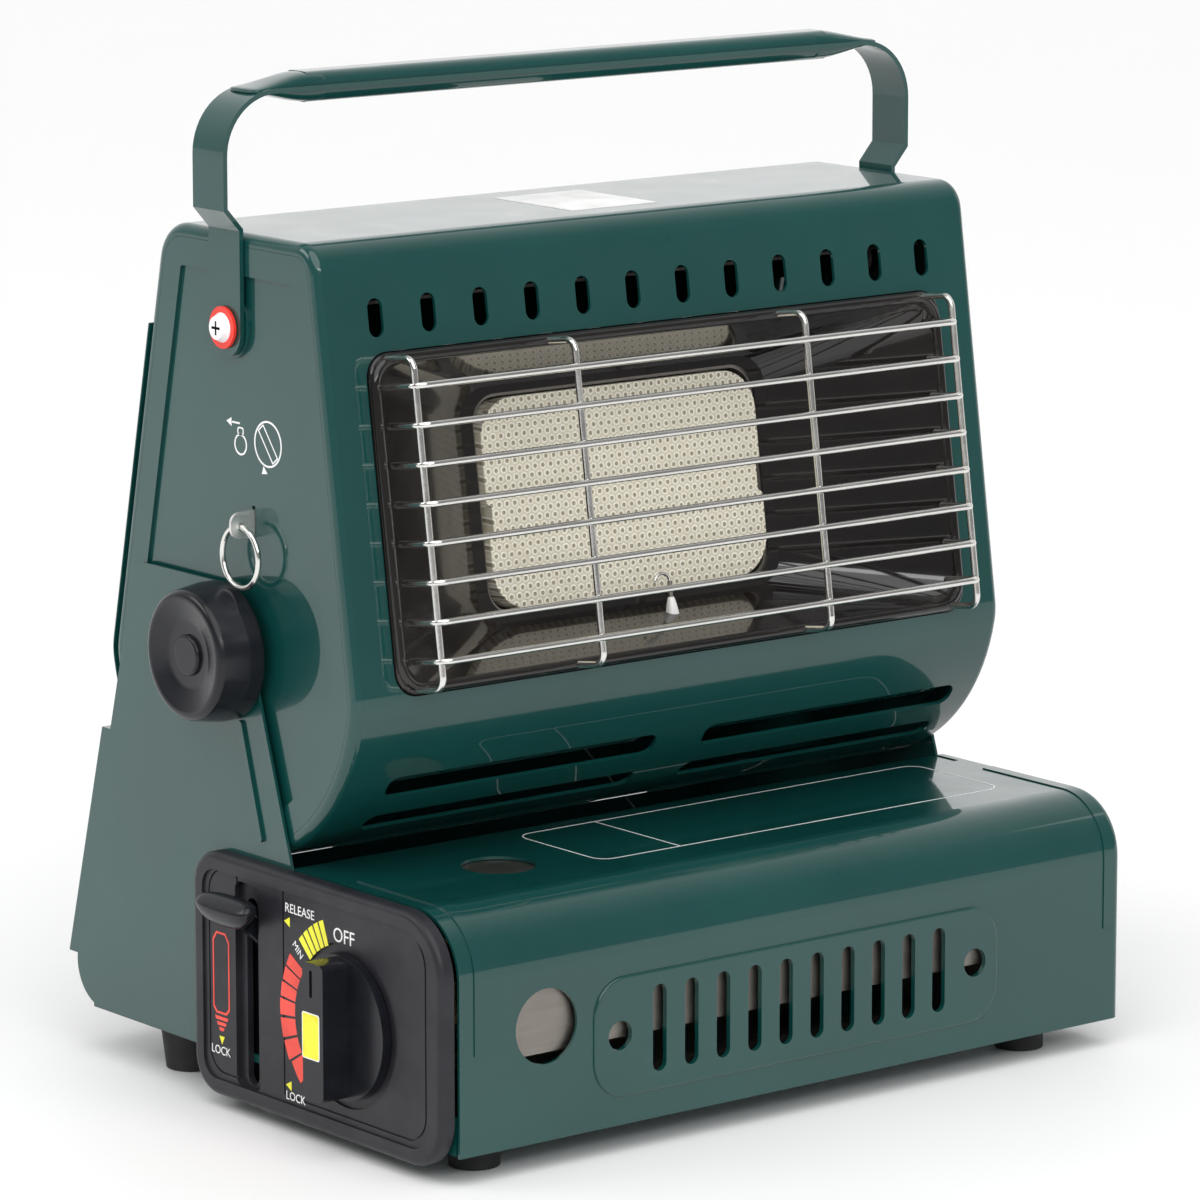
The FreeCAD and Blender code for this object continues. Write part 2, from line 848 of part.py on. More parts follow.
def make_lid():
    """Pressed lid: front wall, top and right end in one, with slots, holes and beads."""
    body = new_body("cartridge_lid")
    width = lid_left + lid_right
    block_out = pad(body, outline(new_sketch(body, "lid_out", "YZ_Plane", -lid_left), lid_corners(0)), width)
    fillet(body, block_out, s.lid_edge, lambda edge: at_x(lid_right)(edge)
           and edge.BoundBox.YMin < (front + s.lid_depth - 1).value
           and edge.BoundBox.ZMax > (lid_low + 1).value)
    hollow = outline(new_sketch(body, "lid_in", "YZ_Plane", -lid_left - 1),
                     lid_corners(s.sheet, lid_low - 1, front + s.lid_depth + 1))
    pocket(body, hollow, width + 1 - s.sheet, reverse=True)
    field_width = s.lid_vent_pitch * (s.lid_vent_count + 3)
    field = box_outline(new_sketch(body, "lid_field", "XZ_Plane", -front), s.lid_vent_middle,
                        s.lid_vent_height - 0.6, field_width, s.lid_field_height, s.lid_field_round)
    raised = pad(body, field, s.lid_rise + s.sheet / 2, reverse=True)

    def brink(edge):
        box = edge.BoundBox
        return box.YLength < 1e-4 and abs(box.YMin - front.value) < 1e-4

    fillet(body, raised, s.lid_rise - 0.1, brink)
    first = s.lid_vent_middle - s.lid_vent_pitch * (s.lid_vent_count - 1) / 2
    vent = slot_outline(new_sketch(body, "lid_vent", "XZ_Plane", -front + 1),
                        first, s.lid_vent_height, s.lid_vent_width, s.lid_vent_length)
    vent_cut = pocket(body, vent, 8)
    row(body, [vent_cut], "X_Axis", s.lid_vent_pitch, s.lid_vent_count)
    holes = new_sketch(body, "lid_holes", "XZ_Plane", -front + 1)
    side = s.lid_vent_pitch * (s.lid_vent_count - 1) / 2 + s.lid_hole_step
    circle(holes, s.lid_vent_middle - side, s.lid_vent_height, s.lid_hole_radius)
    circle(holes, s.lid_vent_middle + side, s.lid_vent_height, s.lid_hole_radius)
    circle(holes, -lid_left + s.lid_window_inset, s.lid_window_height, s.lid_window_radius)
    pocket(body, holes, 8)
    top_hole = circle(new_sketch(body, "lid_top_hole", "XY_Plane", lid_high + 1),
                      -lid_left + s.lid_top_hole_inset, front + s.lid_top_hole_back, s.lid_window_radius)
    pocket(body, top_hole, 8)
    for name, place in (("bead_left", -lid_left + 5.5), ("bead_right", lid_right - 8)):
        skin = -s.lid_rise / 2
        near, top = front + s.lid_rise + skin, lid_high - skin
        inner_near, inner_top = near + s.sheet, top - s.sheet
        tail, foot = front + s.bead_tail, lid_low + s.bead_foot
        radius = s.lid_corner - skin
        bead = outline(new_sketch(body, name, "YZ_Plane", place), [
            (near, foot), (inner_near, foot), (inner_near, inner_top, radius - s.sheet),
            (tail, inner_top), (tail, top), (near, top, radius),
        ])
        pad(body, bead, s.bead_width)
    pin_y = front + s.lid_pin_back
    ear_low, ear_high = s.lid_pin_height - 6, lid_high - s.sheet / 2
    ear = outline(new_sketch(body, "lid_ear", "YZ_Plane", -lid_left + s.play), [
        (pin_y - 6, ear_high), (pin_y - 6, ear_low, 4), (pin_y + 5, ear_low, 4), (pin_y + 5, ear_high),
    ])
    ear_pad = pad(body, ear, s.ear_sheet)
    mirror(body, [ear_pad])
    pin_hole = circle(new_sketch(body, "lid_pin_hole", "YZ_Plane"), pin_y, s.lid_pin_height,
                      s.lid_pin_radius + s.shaft_play)
    pocket(body, pin_hole, lid_left * 2 + 2, symmetric=True)
    notch = box_outline(new_sketch(body, "lid_notch", "XY_Plane", lid_high + 1),
                        stand_half - s.sheet / 2, front + s.lid_depth - 4, s.sheet + 1.2, 14)
    pocket(body, notch, 6)
    keep("cartridge_lid", body)


def make_lid_liner():
    """Heat shield inside the lid, seen through its round holes."""
    body = new_body("lid_liner")
    wall = front + s.lid_rise + s.sheet
    near = wall + s.liner_gap
    top = lid_high - s.sheet - s.play
    gauge = s.sheet * 0.8
    foot, tail = lid_low + s.liner_foot, front + s.liner_tail
    pad(body, outline(new_sketch(body, "liner_fold", "YZ_Plane"), [
        (near, foot), (near + gauge, foot), (near + gauge, top - gauge, s.lid_corner - 4),
        (tail, top - gauge), (tail, top), (near, top, s.lid_corner - 3),
    ]), (lid_left - 6) * 2, symmetric=True)
    keep("lid_liner", body)


# Control panel

def panel_corners(inset):
    inset = dim(inset)
    near, far = front + s.panel_front + inset, front + s.panel_back - inset
    low, high = s.lift - s.panel_drop + inset, lid_high - inset
    return [
        (near, low, s.panel_round + 4 - inset), (far, low, s.panel_round - inset),
        (far, high, s.panel_round - inset), (near, high, s.lid_corner - inset),
    ]


def make_panel():
    """Moulded panel with a rim, a sunk face, the lever's well and the dial's seat."""
    body = new_body("control_panel")
    outer = -stand_half - s.panel_depth
    slab = outline(new_sketch(body, "panel_slab", "YZ_Plane", outer), panel_corners(0))
    slab_pad = pad(body, slab, s.panel_depth)
    fillet(body, slab_pad, s.panel_edge, at_x(outer))
    plate = outline(new_sketch(body, "panel_face", "YZ_Plane", outer), panel_corners(s.panel_rim))
    pocket(body, plate, s.panel_sink, reverse=True)
    well = box_outline(new_sketch(body, "lever_well", "YZ_Plane", outer), lever_y, s.lift + 34,
                       s.lever_well_width, s.lever_well_height, 3)
    pocket(body, well, 2.8, reverse=True)
    slot = slot_outline(new_sketch(body, "lever_slot", "YZ_Plane", outer), lever_y, s.lift + 32,
                        s.lever_blade + 2, s.lever_well_height - 6)
    pocket(body, slot, s.panel_depth + 2, reverse=True)
    rings = new_sketch(body, "panel_grooves", "YZ_Plane", outer + s.panel_sink)
    for inset in (0, s.groove_width):
        near, far = front + 10 + inset, front + 84 - inset
        low, high = s.lift + 3 + inset, s.lift + 69 - inset
        outline(rings, [(near, low, 9 - inset), (far, low, 1.2), (far, high, 1.2), (near, high, 12 - inset)])
        near, far = front + 108 + inset, front + s.panel_back - 8 - inset
        outline(rings, [(near, low, 1), (far, low, 8 - inset), (far, high, 8 - inset), (near, high, 1)])
    pocket(body, rings, s.groove_depth, reverse=True)
    seat = circle(new_sketch(body, "dial_seat", "YZ_Plane", outer), dial_y, s.dial_height,
                  s.dial_radius + 1.5)
    pocket(body, seat, s.panel_sink * 2, reverse=True)
    bore = circle(new_sketch(body, "dial_bore", "YZ_Plane", outer), dial_y, s.dial_height, 8)
    pocket(body, bore, s.panel_depth + 2, reverse=True)
    keep("control_panel", body)


def make_dial():
    """Control knob: round skirt with a grip bar across it."""
    body = new_body("control_knob")
    back = dial_back_x
    skirt_front = back - s.dial_skirt
    skirt = circle(new_sketch(body, "dial_skirt", "YZ_Plane", skirt_front), dial_y, s.dial_height,
                   s.dial_radius)
    skirt_pad = pad(body, skirt, s.dial_skirt)
    fillet(body, skirt_pad, 1.2, at_x(skirt_front))
    bar = box_outline(new_sketch(body, "dial_bar", "YZ_Plane", -s.reach), dial_y, s.dial_height,
                      s.dial_bar_width, s.dial_bar_length, 3)
    bar_pad = pad(body, bar, skirt_front + s.reach + 0.5)
    fillet(body, bar_pad, 0.8, at_x(-s.reach))
    bore = circle(new_sketch(body, "dial_socket", "YZ_Plane", back), dial_y, s.dial_height,
                  s.spindle_radius + s.shaft_play)
    pocket(body, bore, s.dial_socket)
    keep("control_knob", body)


def make_spindle():
    start = dial_back_x - s.dial_socket
    spindle = rod("knob_spindle", s.spindle_radius, valve_x - start, start, dial_y, s.dial_height)
    keep("valve_spindle", spindle)


def make_valve():
    """Pressure regulator: round body, spindle boss and the cartridge's seat."""
    body = rod("valve_round", 18, 22, valve_x, cart_y, s.cartridge_height)
    boss = rod("valve_boss", 7, 8, valve_x - 6, dial_y, s.dial_height)
    web = block("valve_web", 12, 14, 12, valve_x, dial_y - 4, s.dial_height - 6)
    seat = rod("valve_seat", 12, 5, valve_x + 22, cart_y, s.cartridge_height)
    foot = block("valve_foot", 14, 26, s.cartridge_height - 14 - pan_top, valve_x + 4, cart_y - 13, pan_top)
    whole = fuse("valve_whole", [body, boss, web, seat, foot])
    bore = rod("valve_bore", s.spindle_radius + s.shaft_play, 9, valve_x - 7, dial_y, s.dial_height)
    nose = rod("valve_nose", 5, 3, valve_x + 24, cart_y, s.cartridge_height)
    keep("gas_regulator", cut("regulator", whole, [bore, nose]))


def make_igniter():
    case = block("igniter_case", 30, 12, 16, valve_x - 2, front + 70, pan_top)
    stub = rod("igniter_stub", 3, 8, valve_x + 28, front + 76, pan_top + 8)
    keep("piezo_igniter", fuse("igniter", [case, stub]))


def make_lever():
    """Cartridge lever: a blade on a cross pin, with a paddle outside."""
    pivot_x = lever_pivot_x
    body = new_body("cartridge_lever")
    body.Placement = Placement(Vector(pivot_x.value, lever_y.value, s.lever_height.value),
                               Rotation(Vector(0, 1, 0), s.lever_rest.value))
    body.setExpression("Placement.Base.x", pivot_x.text)
    body.setExpression("Placement.Base.y", lever_y.text)
    body.setExpression("Placement.Base.z", s.lever_height.text)
    body.setExpression("Placement.Rotation.Angle", s.lever_rest.text)
    tip, neck = -s.lever_arm, 12 - s.lever_arm
    blade = outline(new_sketch(body, "lever_blade_side", "XZ_Plane"), [
        (tip + 2, -2.2, 1.2), (4, -3.5, 2), (4, 3.5, 2), (tip + 2, 2.2, 1.2),
    ])
    pad(body, blade, s.lever_blade, symmetric=True)
    hub = circle(new_sketch(body, "lever_hub", "XZ_Plane"), 0, 0, 5.5)
    pad(body, hub, s.lever_blade + 2, symmetric=True)
    paddle = outline(new_sketch(body, "lever_paddle", "XZ_Plane"), [
        (tip, -3.2, 2.4), (neck, -4.6, 1.5), (neck, 4.6, 1.5), (tip, 3.2, 2.4),
    ])
    pad(body, paddle, 12, symmetric=True)
    bore = circle(new_sketch(body, "lever_bore", "XZ_Plane"), 0, 0, s.lever_pin_radius + s.shaft_play)
    pocket(body, bore, 20, symmetric=True)
    keep("cartridge_lever", body)


def make_lever_bracket():
    """Fork that carries the lever's cross pin."""
    pivot_x = lever_pivot_x
    gap = s.lever_blade + 2 + s.play * 2
    wall = 2
    floor = s.stand_low
    high = s.lever_height + 5 - floor
    ears = []
    for name, low in (("fork_front", lever_y - gap / 2 - wall), ("fork_back", lever_y + gap / 2)):
        ears.append(block(name, 10, wall, high, pivot_x - 5, low, floor))
    base = block("fork_base", 18, gap + wall * 2, 2, pivot_x - 5, lever_y - gap / 2 - wall, floor)
    pin = rod("lever_pin", s.lever_pin_radius, gap + wall * 2, pivot_x, lever_y - gap / 2 - wall,
              s.lever_height, "y")
    keep("lever_bracket", fuse("lever_fork", ears + [base, pin]))


def make_pusher():
    """Sliding carrier that presses the cartridge onto the regulator."""
    gauge = s.carrier_sheet
    travel = 9
    stop = valve_x + 27 + s.cartridge_length + travel
    length = s.cartridge_length + 4
    low = pan_top + s.play
    sole = block("pusher_sole", length, s.carrier_width, gauge, stop + gauge - length,
                 cart_y - s.carrier_width / 2, low)
    tab = block("pusher_tab", gauge, s.carrier_tab, s.carrier_tab, stop, cart_y - s.carrier_tab / 2, low)
    keep("cartridge_carrier", fuse("carrier", [sole, tab]))


# Head casing

def kink_at(width):
    """Picks the long edges where the drum meets the two flat faces."""
    def pick(edge):
        box = edge.BoundBox
        return abs(box.XLength - width.value) < 1e-3 and box.YLength < 1e-3 and box.ZMax < pivot_z.value + 20
    return pick


def add_louvres(body, number):
    """One row of two long openings in the drum, each with its upper lip pressed inward."""
    start = s.louvre_first + s.louvre_step * number
    end = start + s.louvre_span
    middle = start + s.louvre_span / 2
    radius = s.drum_radius
    height = 2 * radius * sin(s.louvre_span / 2)
    place = drum_point(radius, middle)
    gap = new_sketch(body, f"louvre_gap_{number}", "XZ_Plane")
    centres = (-louvre_middle + s.louvre_shift, louvre_middle + s.louvre_shift)
    for centre in centres:
        box_outline(gap, centre, 0, louvre_length, height, height / 2.4)
    lean_sketch(gap, *place, -middle)
    pocket(body, gap, 10, symmetric=True)
    skin = s.shell_sheet
    for side, centre in zip(("left", "right"), centres):
        lip = outline(new_sketch(body, f"louvre_lip_{number}_{side}", "YZ_Plane", centre), [
            drum_point(radius - 0.1, start - 1.5), drum_point(radius - s.louvre_sink, end - 1.5),
            drum_point(radius - s.louvre_sink - skin, end - 1.5), drum_point(radius - skin, start - 1.5),
        ])
        pad(body, lip, louvre_length - height, symmetric=True)


def make_head_shell():
    """Front, underside and top wrapped in one sheet with a short return at each side."""
    body = new_body("head_shell")
    width = head_half * 2
    wrap = outline(new_sketch(body, "head_out", "YZ_Plane"), head_corners(0))
    solid_pad = pad(body, wrap, width, symmetric=True)
    right, left = at_x(head_half), at_x(-head_half)
    eased = fillet(body, solid_pad, s.head_ease, kink_at(width))
    fillet(body, eased, s.head_edge, lambda edge: right(edge) or left(edge))
    gauge = s.shell_sheet
    hollow = outline(new_sketch(body, "head_in", "YZ_Plane"), head_corners(gauge))
    pocket(body, hollow, width - gauge * 2, symmetric=True)
    sides = outline(new_sketch(body, "head_sides", "YZ_Plane"), head_corners(s.side_flange))
    pocket(body, sides, width + 2, symmetric=True)
    tail = s.depth
    open_low = drum_point(dim(110), dim(80))
    split_y = pivot_y + 20
    rear = outline(new_sketch(body, "head_open", "YZ_Plane"), [
        (pivot_y, pivot_z), open_low, (tail, open_low[1]), (tail, s.head_split), (split_y, s.head_split),
    ])
    pocket(body, rear, width - gauge * 2, symmetric=True)
    window = new_sketch(body, "head_window", "XZ_Plane")
    box_outline(window, 0, window_middle, window_width, s.window_height, s.window_round)
    lean_sketch(window, face_y, face_z, s.front_lean)
    pocket(body, window, 16, symmetric=True)
    vent = new_sketch(body, "head_vent", "XZ_Plane")
    first = -vent_pitch * (s.head_vent_count - 1) / 2
    vent_high = window_middle + s.window_height / 2 + s.head_vent_gap
    slot_outline(vent, first, vent_high, s.head_vent_width, s.head_vent_length)
    lean_sketch(vent, face_y, face_z, s.front_lean)
    vent_cut = pocket(body, vent, 8, symmetric=True)
    row(body, [vent_cut], "X_Axis", vent_pitch, s.head_vent_count)
    for number in range(int(s.louvre_count.value)):
        add_louvres(body, number)
    keep("head_shell", body)


def make_side(name, side):
    """Pressed side plate: flat border, dished field, boss for the handle."""
    body = new_body(name)
    left = side < 0
    edge = s.side_flange + 0.1
    outer = head_half
    field = edge + s.side_border

    def layer(label, corners, low, high):
        start = -high if left else low
        return outline(new_sketch(body, name + label, "YZ_Plane", start), corners), high - low

    sketch, thick = layer("_border", head_corners(edge), outer - s.sheet, outer)
    pad(body, sketch, thick)
    sketch, thick = layer("_field", head_corners(field - s.sheet), outer - s.sheet - s.side_dish,
                          outer - s.sheet)
    pad(body, sketch, thick)
    sketch, thick = layer("_dish", head_corners(field), outer - s.side_dish, outer)
    pocket(body, sketch, thick, reverse=True)
    boss_low = -outer if left else outer - s.side_dish
    boss = circle(new_sketch(body, name + "_boss", "YZ_Plane", boss_low), handle_y, s.handle_pivot,
                  s.boss_radius)
    pad(body, boss, s.side_dish)
    holes = new_sketch(body, name + "_holes", "YZ_Plane", -outer if left else outer)
    circle(holes, pivot_y, pivot_z, s.bolt_radius + s.shaft_play)
    circle(holes, handle_y, s.handle_pivot, s.screw_radius + s.shaft_play)
    pocket(body, holes, 12, symmetric=True)
    if left:
        slit = box_outline(new_sketch(body, name + "_slit", "YZ_Plane", -outer), lock_y, s.lock_height,
                           s.sheet + s.play * 2, 11)
        pocket(body, slit, 12, symmetric=True)
    keep(name, body)


def make_back():
    """Lower back sheet, lapped over the top wrap and carried round the drum."""
    body = new_body("back_cover")
    lap = -s.sheet - 0.1
    half = head_half
    solid_pad = pad(body, outline(new_sketch(body, "back_out", "YZ_Plane"), head_corners(lap)), half * 2,
                    symmetric=True)
    eased = fillet(body, solid_pad, s.head_ease, kink_at(half * 2))
    right, left = at_x(half), at_x(-half)
    fillet(body, eased, 0.8, lambda edge: right(edge) or left(edge))
    hollow = outline(new_sketch(body, "back_in", "YZ_Plane"), head_corners(lap + s.sheet))
    pocket(body, hollow, half * 2 + 2, symmetric=True)
    low = drum_point(dim(130), dim(125))
    reach = s.depth
    trim = outline(new_sketch(body, "back_trim", "YZ_Plane"), [
        (pivot_y, pivot_z), (pivot_y + 20, s.head_split + 8), (reach, s.head_split + 8),
        (reach, s.head_split + 90), (-reach, s.head_split + 90), (-reach, low[1]), low,
    ])
    pocket(body, trim, half * 2 + 4, symmetric=True)
    vent = new_sketch(body, "back_vent", "XZ_Plane", -s.depth / 2)
    first = -vent_pitch * (s.head_vent_count - 1) / 2
    slot_outline(vent, first, s.head_split - 20, s.head_vent_width, s.head_vent_length * 2)
    vent_cut = pocket(body, vent, 90, reverse=True)
    row(body, [vent_cut], "X_Axis", vent_pitch, s.head_vent_count)
    keep("back_cover", body)


# Burner and reflector, built in the leaning face

def loft(body, sketches, kind):
    feature = body.newObject(kind, sketches[0].Name + "_loft")
    feature.Profile = sketches[0]
    feature.Sections = sketches[1:]
    feature.Ruled = True
    doc.recompute()
    return feature


def make_reflector():
    """Dished reflector with a raised rim round the window."""
    body = face_body("reflector")
    gauge = s.sheet
    middle = window_middle
    base, top = dim(-4), s.bowl_lip
    rim = box_outline(new_sketch(body, "rim_out", "XY_Plane", base), 0, middle, window_width - 0.8,
                      s.window_height - 0.8, s.window_round - 0.4)
    rim_pad = pad(body, rim, top - base)

    def lip(edge):
        box = edge.BoundBox
        return box.ZLength < 1e-4 and abs(box.ZMax - top.value) < 1e-4

    fillet(body, rim_pad, top - 0.2, lip)
    deep = -s.bowl_depth
    outer = [
        box_outline(new_sketch(body, "bowl_out_a", "XY_Plane", base), 0, middle, bowl_width + 2.4,
                    bowl_height + 2.4, 11),
        box_outline(new_sketch(body, "bowl_out_b", "XY_Plane", deep - gauge), 0, middle,
                    s.bowl_back_width + 2, s.bowl_back_height + 2, 11),
    ]
    loft(body, outer, "PartDesign::AdditiveLoft")
    inner = [
        box_outline(new_sketch(body, "bowl_in_a", "XY_Plane", top), 0, middle, bowl_width + 10,
                    bowl_height + 6, 11),
        box_outline(new_sketch(body, "bowl_in_b", "XY_Plane", deep), 0, middle, s.bowl_back_width,
                    s.bowl_back_height, 10),
    ]
    loft(body, inner, "PartDesign::SubtractiveLoft")
    port = circle(new_sketch(body, "spark_port", "XZ_Plane", -s.window_low - 1), s.spark_side, -s.spark_depth,
                  s.spark_radius + s.shaft_play)
    pocket(body, port, 20)
    hole = box_outline(new_sketch(body, "tile_hole", "XY_Plane", deep - gauge - 1), 0, middle,
                       s.tile_width + 3, s.tile_height + 3, s.tile_round + 1.5)
    pocket(body, hole, gauge + 3, reverse=True)
    keep("reflector", body)


def make_burner():
    """Burner box behind the reflector, with the ceramic tile in its mouth."""
    middle = window_middle
    mouth = -s.bowl_depth - s.sheet
    body = face_body("burner_box")
    case = box_outline(new_sketch(body, "burner_case", "XY_Plane", mouth), 0, middle,
                       s.tile_width + 9, s.tile_height + 8, s.tile_round + 3)
    pad(body, case, s.burner_depth, reverse=True)
    nest = box_outline(new_sketch(body, "burner_nest", "XY_Plane", mouth), 0, middle,
                       s.tile_width + 1, s.tile_height + 1, s.tile_round + 0.5)
    pocket(body, nest, s.tile_depth)
    plenum = box_outline(new_sketch(body, "burner_plenum", "XY_Plane", mouth - s.tile_depth + 1), 0, middle,
                         s.tile_width - 6, s.tile_height - 6, s.tile_round)
    pocket(body, plenum, s.burner_depth - s.tile_depth - 0.5)
    keep("burner_box", body)

    tile = face_body("ceramic_tile")
    face = -s.bowl_depth + 1.5
    slab = box_outline(new_sketch(tile, "tile_slab", "XY_Plane", face), 0, middle, s.tile_width,
                       s.tile_height, s.tile_round)
    pad(tile, slab, s.tile_depth, reverse=True)
    notches = new_sketch(tile, "tile_notch", "XY_Plane", face)
    circle(notches, -s.tile_width / 2 - 1.5, middle - 1, 5)
    circle(notches, s.tile_width / 2 + 1.5, middle - 1, 5)
    pocket(tile, notches, 4)
    keep("ceramic_tile", tile)


def make_mixer():
    """Mixing tube from the injector into the left end of the burner box."""
    body = face_body("mixing_tube")
    middle = window_middle
    deep = mixer_deep
    start = -s.tile_width / 2 - 4.5
    bell = start - s.mixer_length
    sketch = new_sketch(body, "mixer_turn", "XY_Plane", deep)
    wide, neck = s.mixer_radius + 3, s.mixer_radius - 3.5
    outline(sketch, [
        (bell, middle + wide - 1), (bell, middle + wide), (bell + 10, middle + neck + 1),
        (start, middle + neck + 0.5), (start, middle + neck - 0.5), (bell + 10, middle + neck),
    ])
    turn = body.newObject("PartDesign::Revolution", "mixer_body")
    turn.Profile = sketch
    axis = sketch.addGeometry(Part.LineSegment(Vector(bell.value, middle.value, 0),
                                               Vector(start.value, middle.value, 0)), True)
    rules = Rules(sketch)
    rules.place(axis, 1, bell, middle)
    rules.place(axis, 2, start, middle)
    rules.apply()
    turn.ReferenceAxis = (sketch, ["Axis0"])
    turn.Angle = 360
    doc.recompute()
    keep("mixing_tube", body)


def make_injector():
    """Brass injector in the bell of the mixing tube, on its bracket."""
    body = face_body("gas_injector")
    middle = window_middle
    deep = mixer_deep
    bell = -s.tile_width / 2 - 4.5 - s.mixer_length
    shutter = new_sketch(body, "injector_shutter", "YZ_Plane", bell - 1.5)
    circle(shutter, middle, deep, s.mixer_radius + 3)
    pad(body, shutter, 1.5)
    stub = new_sketch(body, "injector_body", "YZ_Plane", bell - 9)
    circle(stub, middle, deep, 5)
    pad(body, stub, 8)
    tip = new_sketch(body, "injector_tip", "YZ_Plane", bell)
    circle(tip, middle, deep, 2.5)
    pad(body, tip, 6)
    keep("gas_injector", body)


def make_igniting():
    """Spark electrode in its white insulator, low in the bowl."""
    body = face_body("spark_insulator")
    low = s.window_low + 4
    tube = new_sketch(body, "insulator_round", "XZ_Plane", -low)
    circle(tube, s.spark_side, -s.spark_depth, s.spark_radius)
    pad(body, tube, s.spark_length, reverse=True)
    keep("spark_insulator", body)
    wire = face_body("spark_electrode")
    stem = new_sketch(wire, "electrode_round", "XZ_Plane", -low - s.spark_length)
    circle(stem, s.spark_side, -s.spark_depth, 0.8)
    pad(wire, stem, 5, reverse=True)
    keep("spark_electrode", wire)


def make_guard():
    """Eight bent wires welded over four rods."""
    body = face_body("guard_grille")
    body.AllowCompound = True
    radius = s.guard_wire / 2
    high = s.guard_reach
    first = window_middle - s.guard_pitch * (s.guard_count - 1) / 2
    bend = 4
    inner = 0.4
    rim = 1.4
    path = new_sketch(body, "guard_path", "XZ_Plane", -first)
    outline(path, [
        (-guard_half, inner), (-guard_half, high, bend), (guard_half, high, bend), (guard_half, inner),
    ], closed=False)
    section = circle(new_sketch(body, "guard_section", "XY_Plane", inner), -guard_half, first, radius)
    wire = pipe(body, section, path, "guard_wire_bar")
    row(body, [wire], "Y_Axis", s.guard_pitch, s.guard_count)
    behind = high - s.guard_wire * 0.9
    hook = s.window_height / 2 - 2.2
    low, top = window_middle - hook, window_middle + hook
    for name, place in (("inner", s.guard_rod_inner), ("outer", guard_half - s.guard_rod_step)):
        spine = new_sketch(body, f"rod_path_{name}", "YZ_Plane", place)
        outline(spine, [(low, rim), (low, behind, bend), (top, behind, bend), (top, rim)], closed=False)
        end = circle(new_sketch(body, f"rod_section_{name}", "XY_Plane", rim), place, low, radius)
        bar = pipe(body, end, spine, f"guard_rod_{name}")
        mirror(body, [bar])
    keep("guard_grille", body)


def pipe(body, section, path, name):
    feature = body.newObject("PartDesign::AdditivePipe", name)
    feature.Profile = section
    feature.Spine = (path, [])
    doc.recompute()
    return feature


def make_baffle():
    """Heat baffle under the top of the head."""
    body = new_body("heat_baffle")
    low = s.head_top - 22
    pad(body, outline(new_sketch(body, "baffle_fold", "YZ_Plane"), [
        (pivot_y - 26, low), (pivot_y - 26, low - s.sheet), (pivot_y + 22, low - s.sheet + 6),
        (pivot_y + 22, low + 6),
    ]), (side_inner - s.play) * 2, symmetric=True)
    keep("heat_baffle", body)


# Joint hardware

def make_tilt_hardware():
    """Carriage bolts, spacers and clamp knobs at the tilt axis."""
    end = s.reach - 4
    head = rod("tilt_bolt_head", 7, 3, side_inner - 3, pivot_y, pivot_z)
    shank = rod("tilt_bolt_shank", s.bolt_radius, end - side_inner, side_inner, pivot_y, pivot_z)
    keep("tilt_bolts", pair("tilt_bolt_pair", fuse("tilt_bolt", [head, shank])))
    gap = stand_inner - side_face
    ring = rod("tilt_spacer_ring", 10, gap, side_face, pivot_y, pivot_z)
    bore = rod("tilt_spacer_bore", s.bolt_radius + s.shaft_play, gap + 2, side_face - 1, pivot_y, pivot_z)
    keep("tilt_spacers", pair("tilt_spacer_pair", cut("tilt_spacer", ring, [bore])))


def make_tilt_knob(name, side):
    """Dished clamp knob, wider at its back rim."""
    body = new_body(name)
    body.Placement = Placement(Vector(0, pivot_y.value, pivot_z.value), Rotation())
    body.setExpression("Placement.Base.y", pivot_y.text)
    body.setExpression("Placement.Base.z", pivot_z.text)
    back, face = stand_half + s.play, s.reach + s.knob_crown
    dish = s.knob_face - 5
    sketch = new_sketch(body, name + "_turn", "XY_Plane")
    end = face - 4
    bolt = s.bolt_radius + s.shaft_play
    hand = 1 if side > 0 else -1
    outline(sketch, [
        (hand * back, bolt), (hand * back, s.knob_radius, 1.5), (hand * (back + 6), s.knob_radius, 1),
        (hand * face, s.knob_face, 2.5), (hand * (face - 3), dish * 0.7, 6),
        (hand * (face - 3.2), s.knob_cap),
        (hand * (face - 1.8), s.knob_cap, 1), (hand * (face - 1.8), 0), (hand * end, 0), (hand * end, bolt),
    ])
    turn = body.newObject("PartDesign::Revolution", name + "_body")
    turn.Profile = sketch
    turn.ReferenceAxis = (origin_feature(body, "X_Axis"), [""])
    turn.Angle = 360
    doc.recompute()
    keep(name, body)


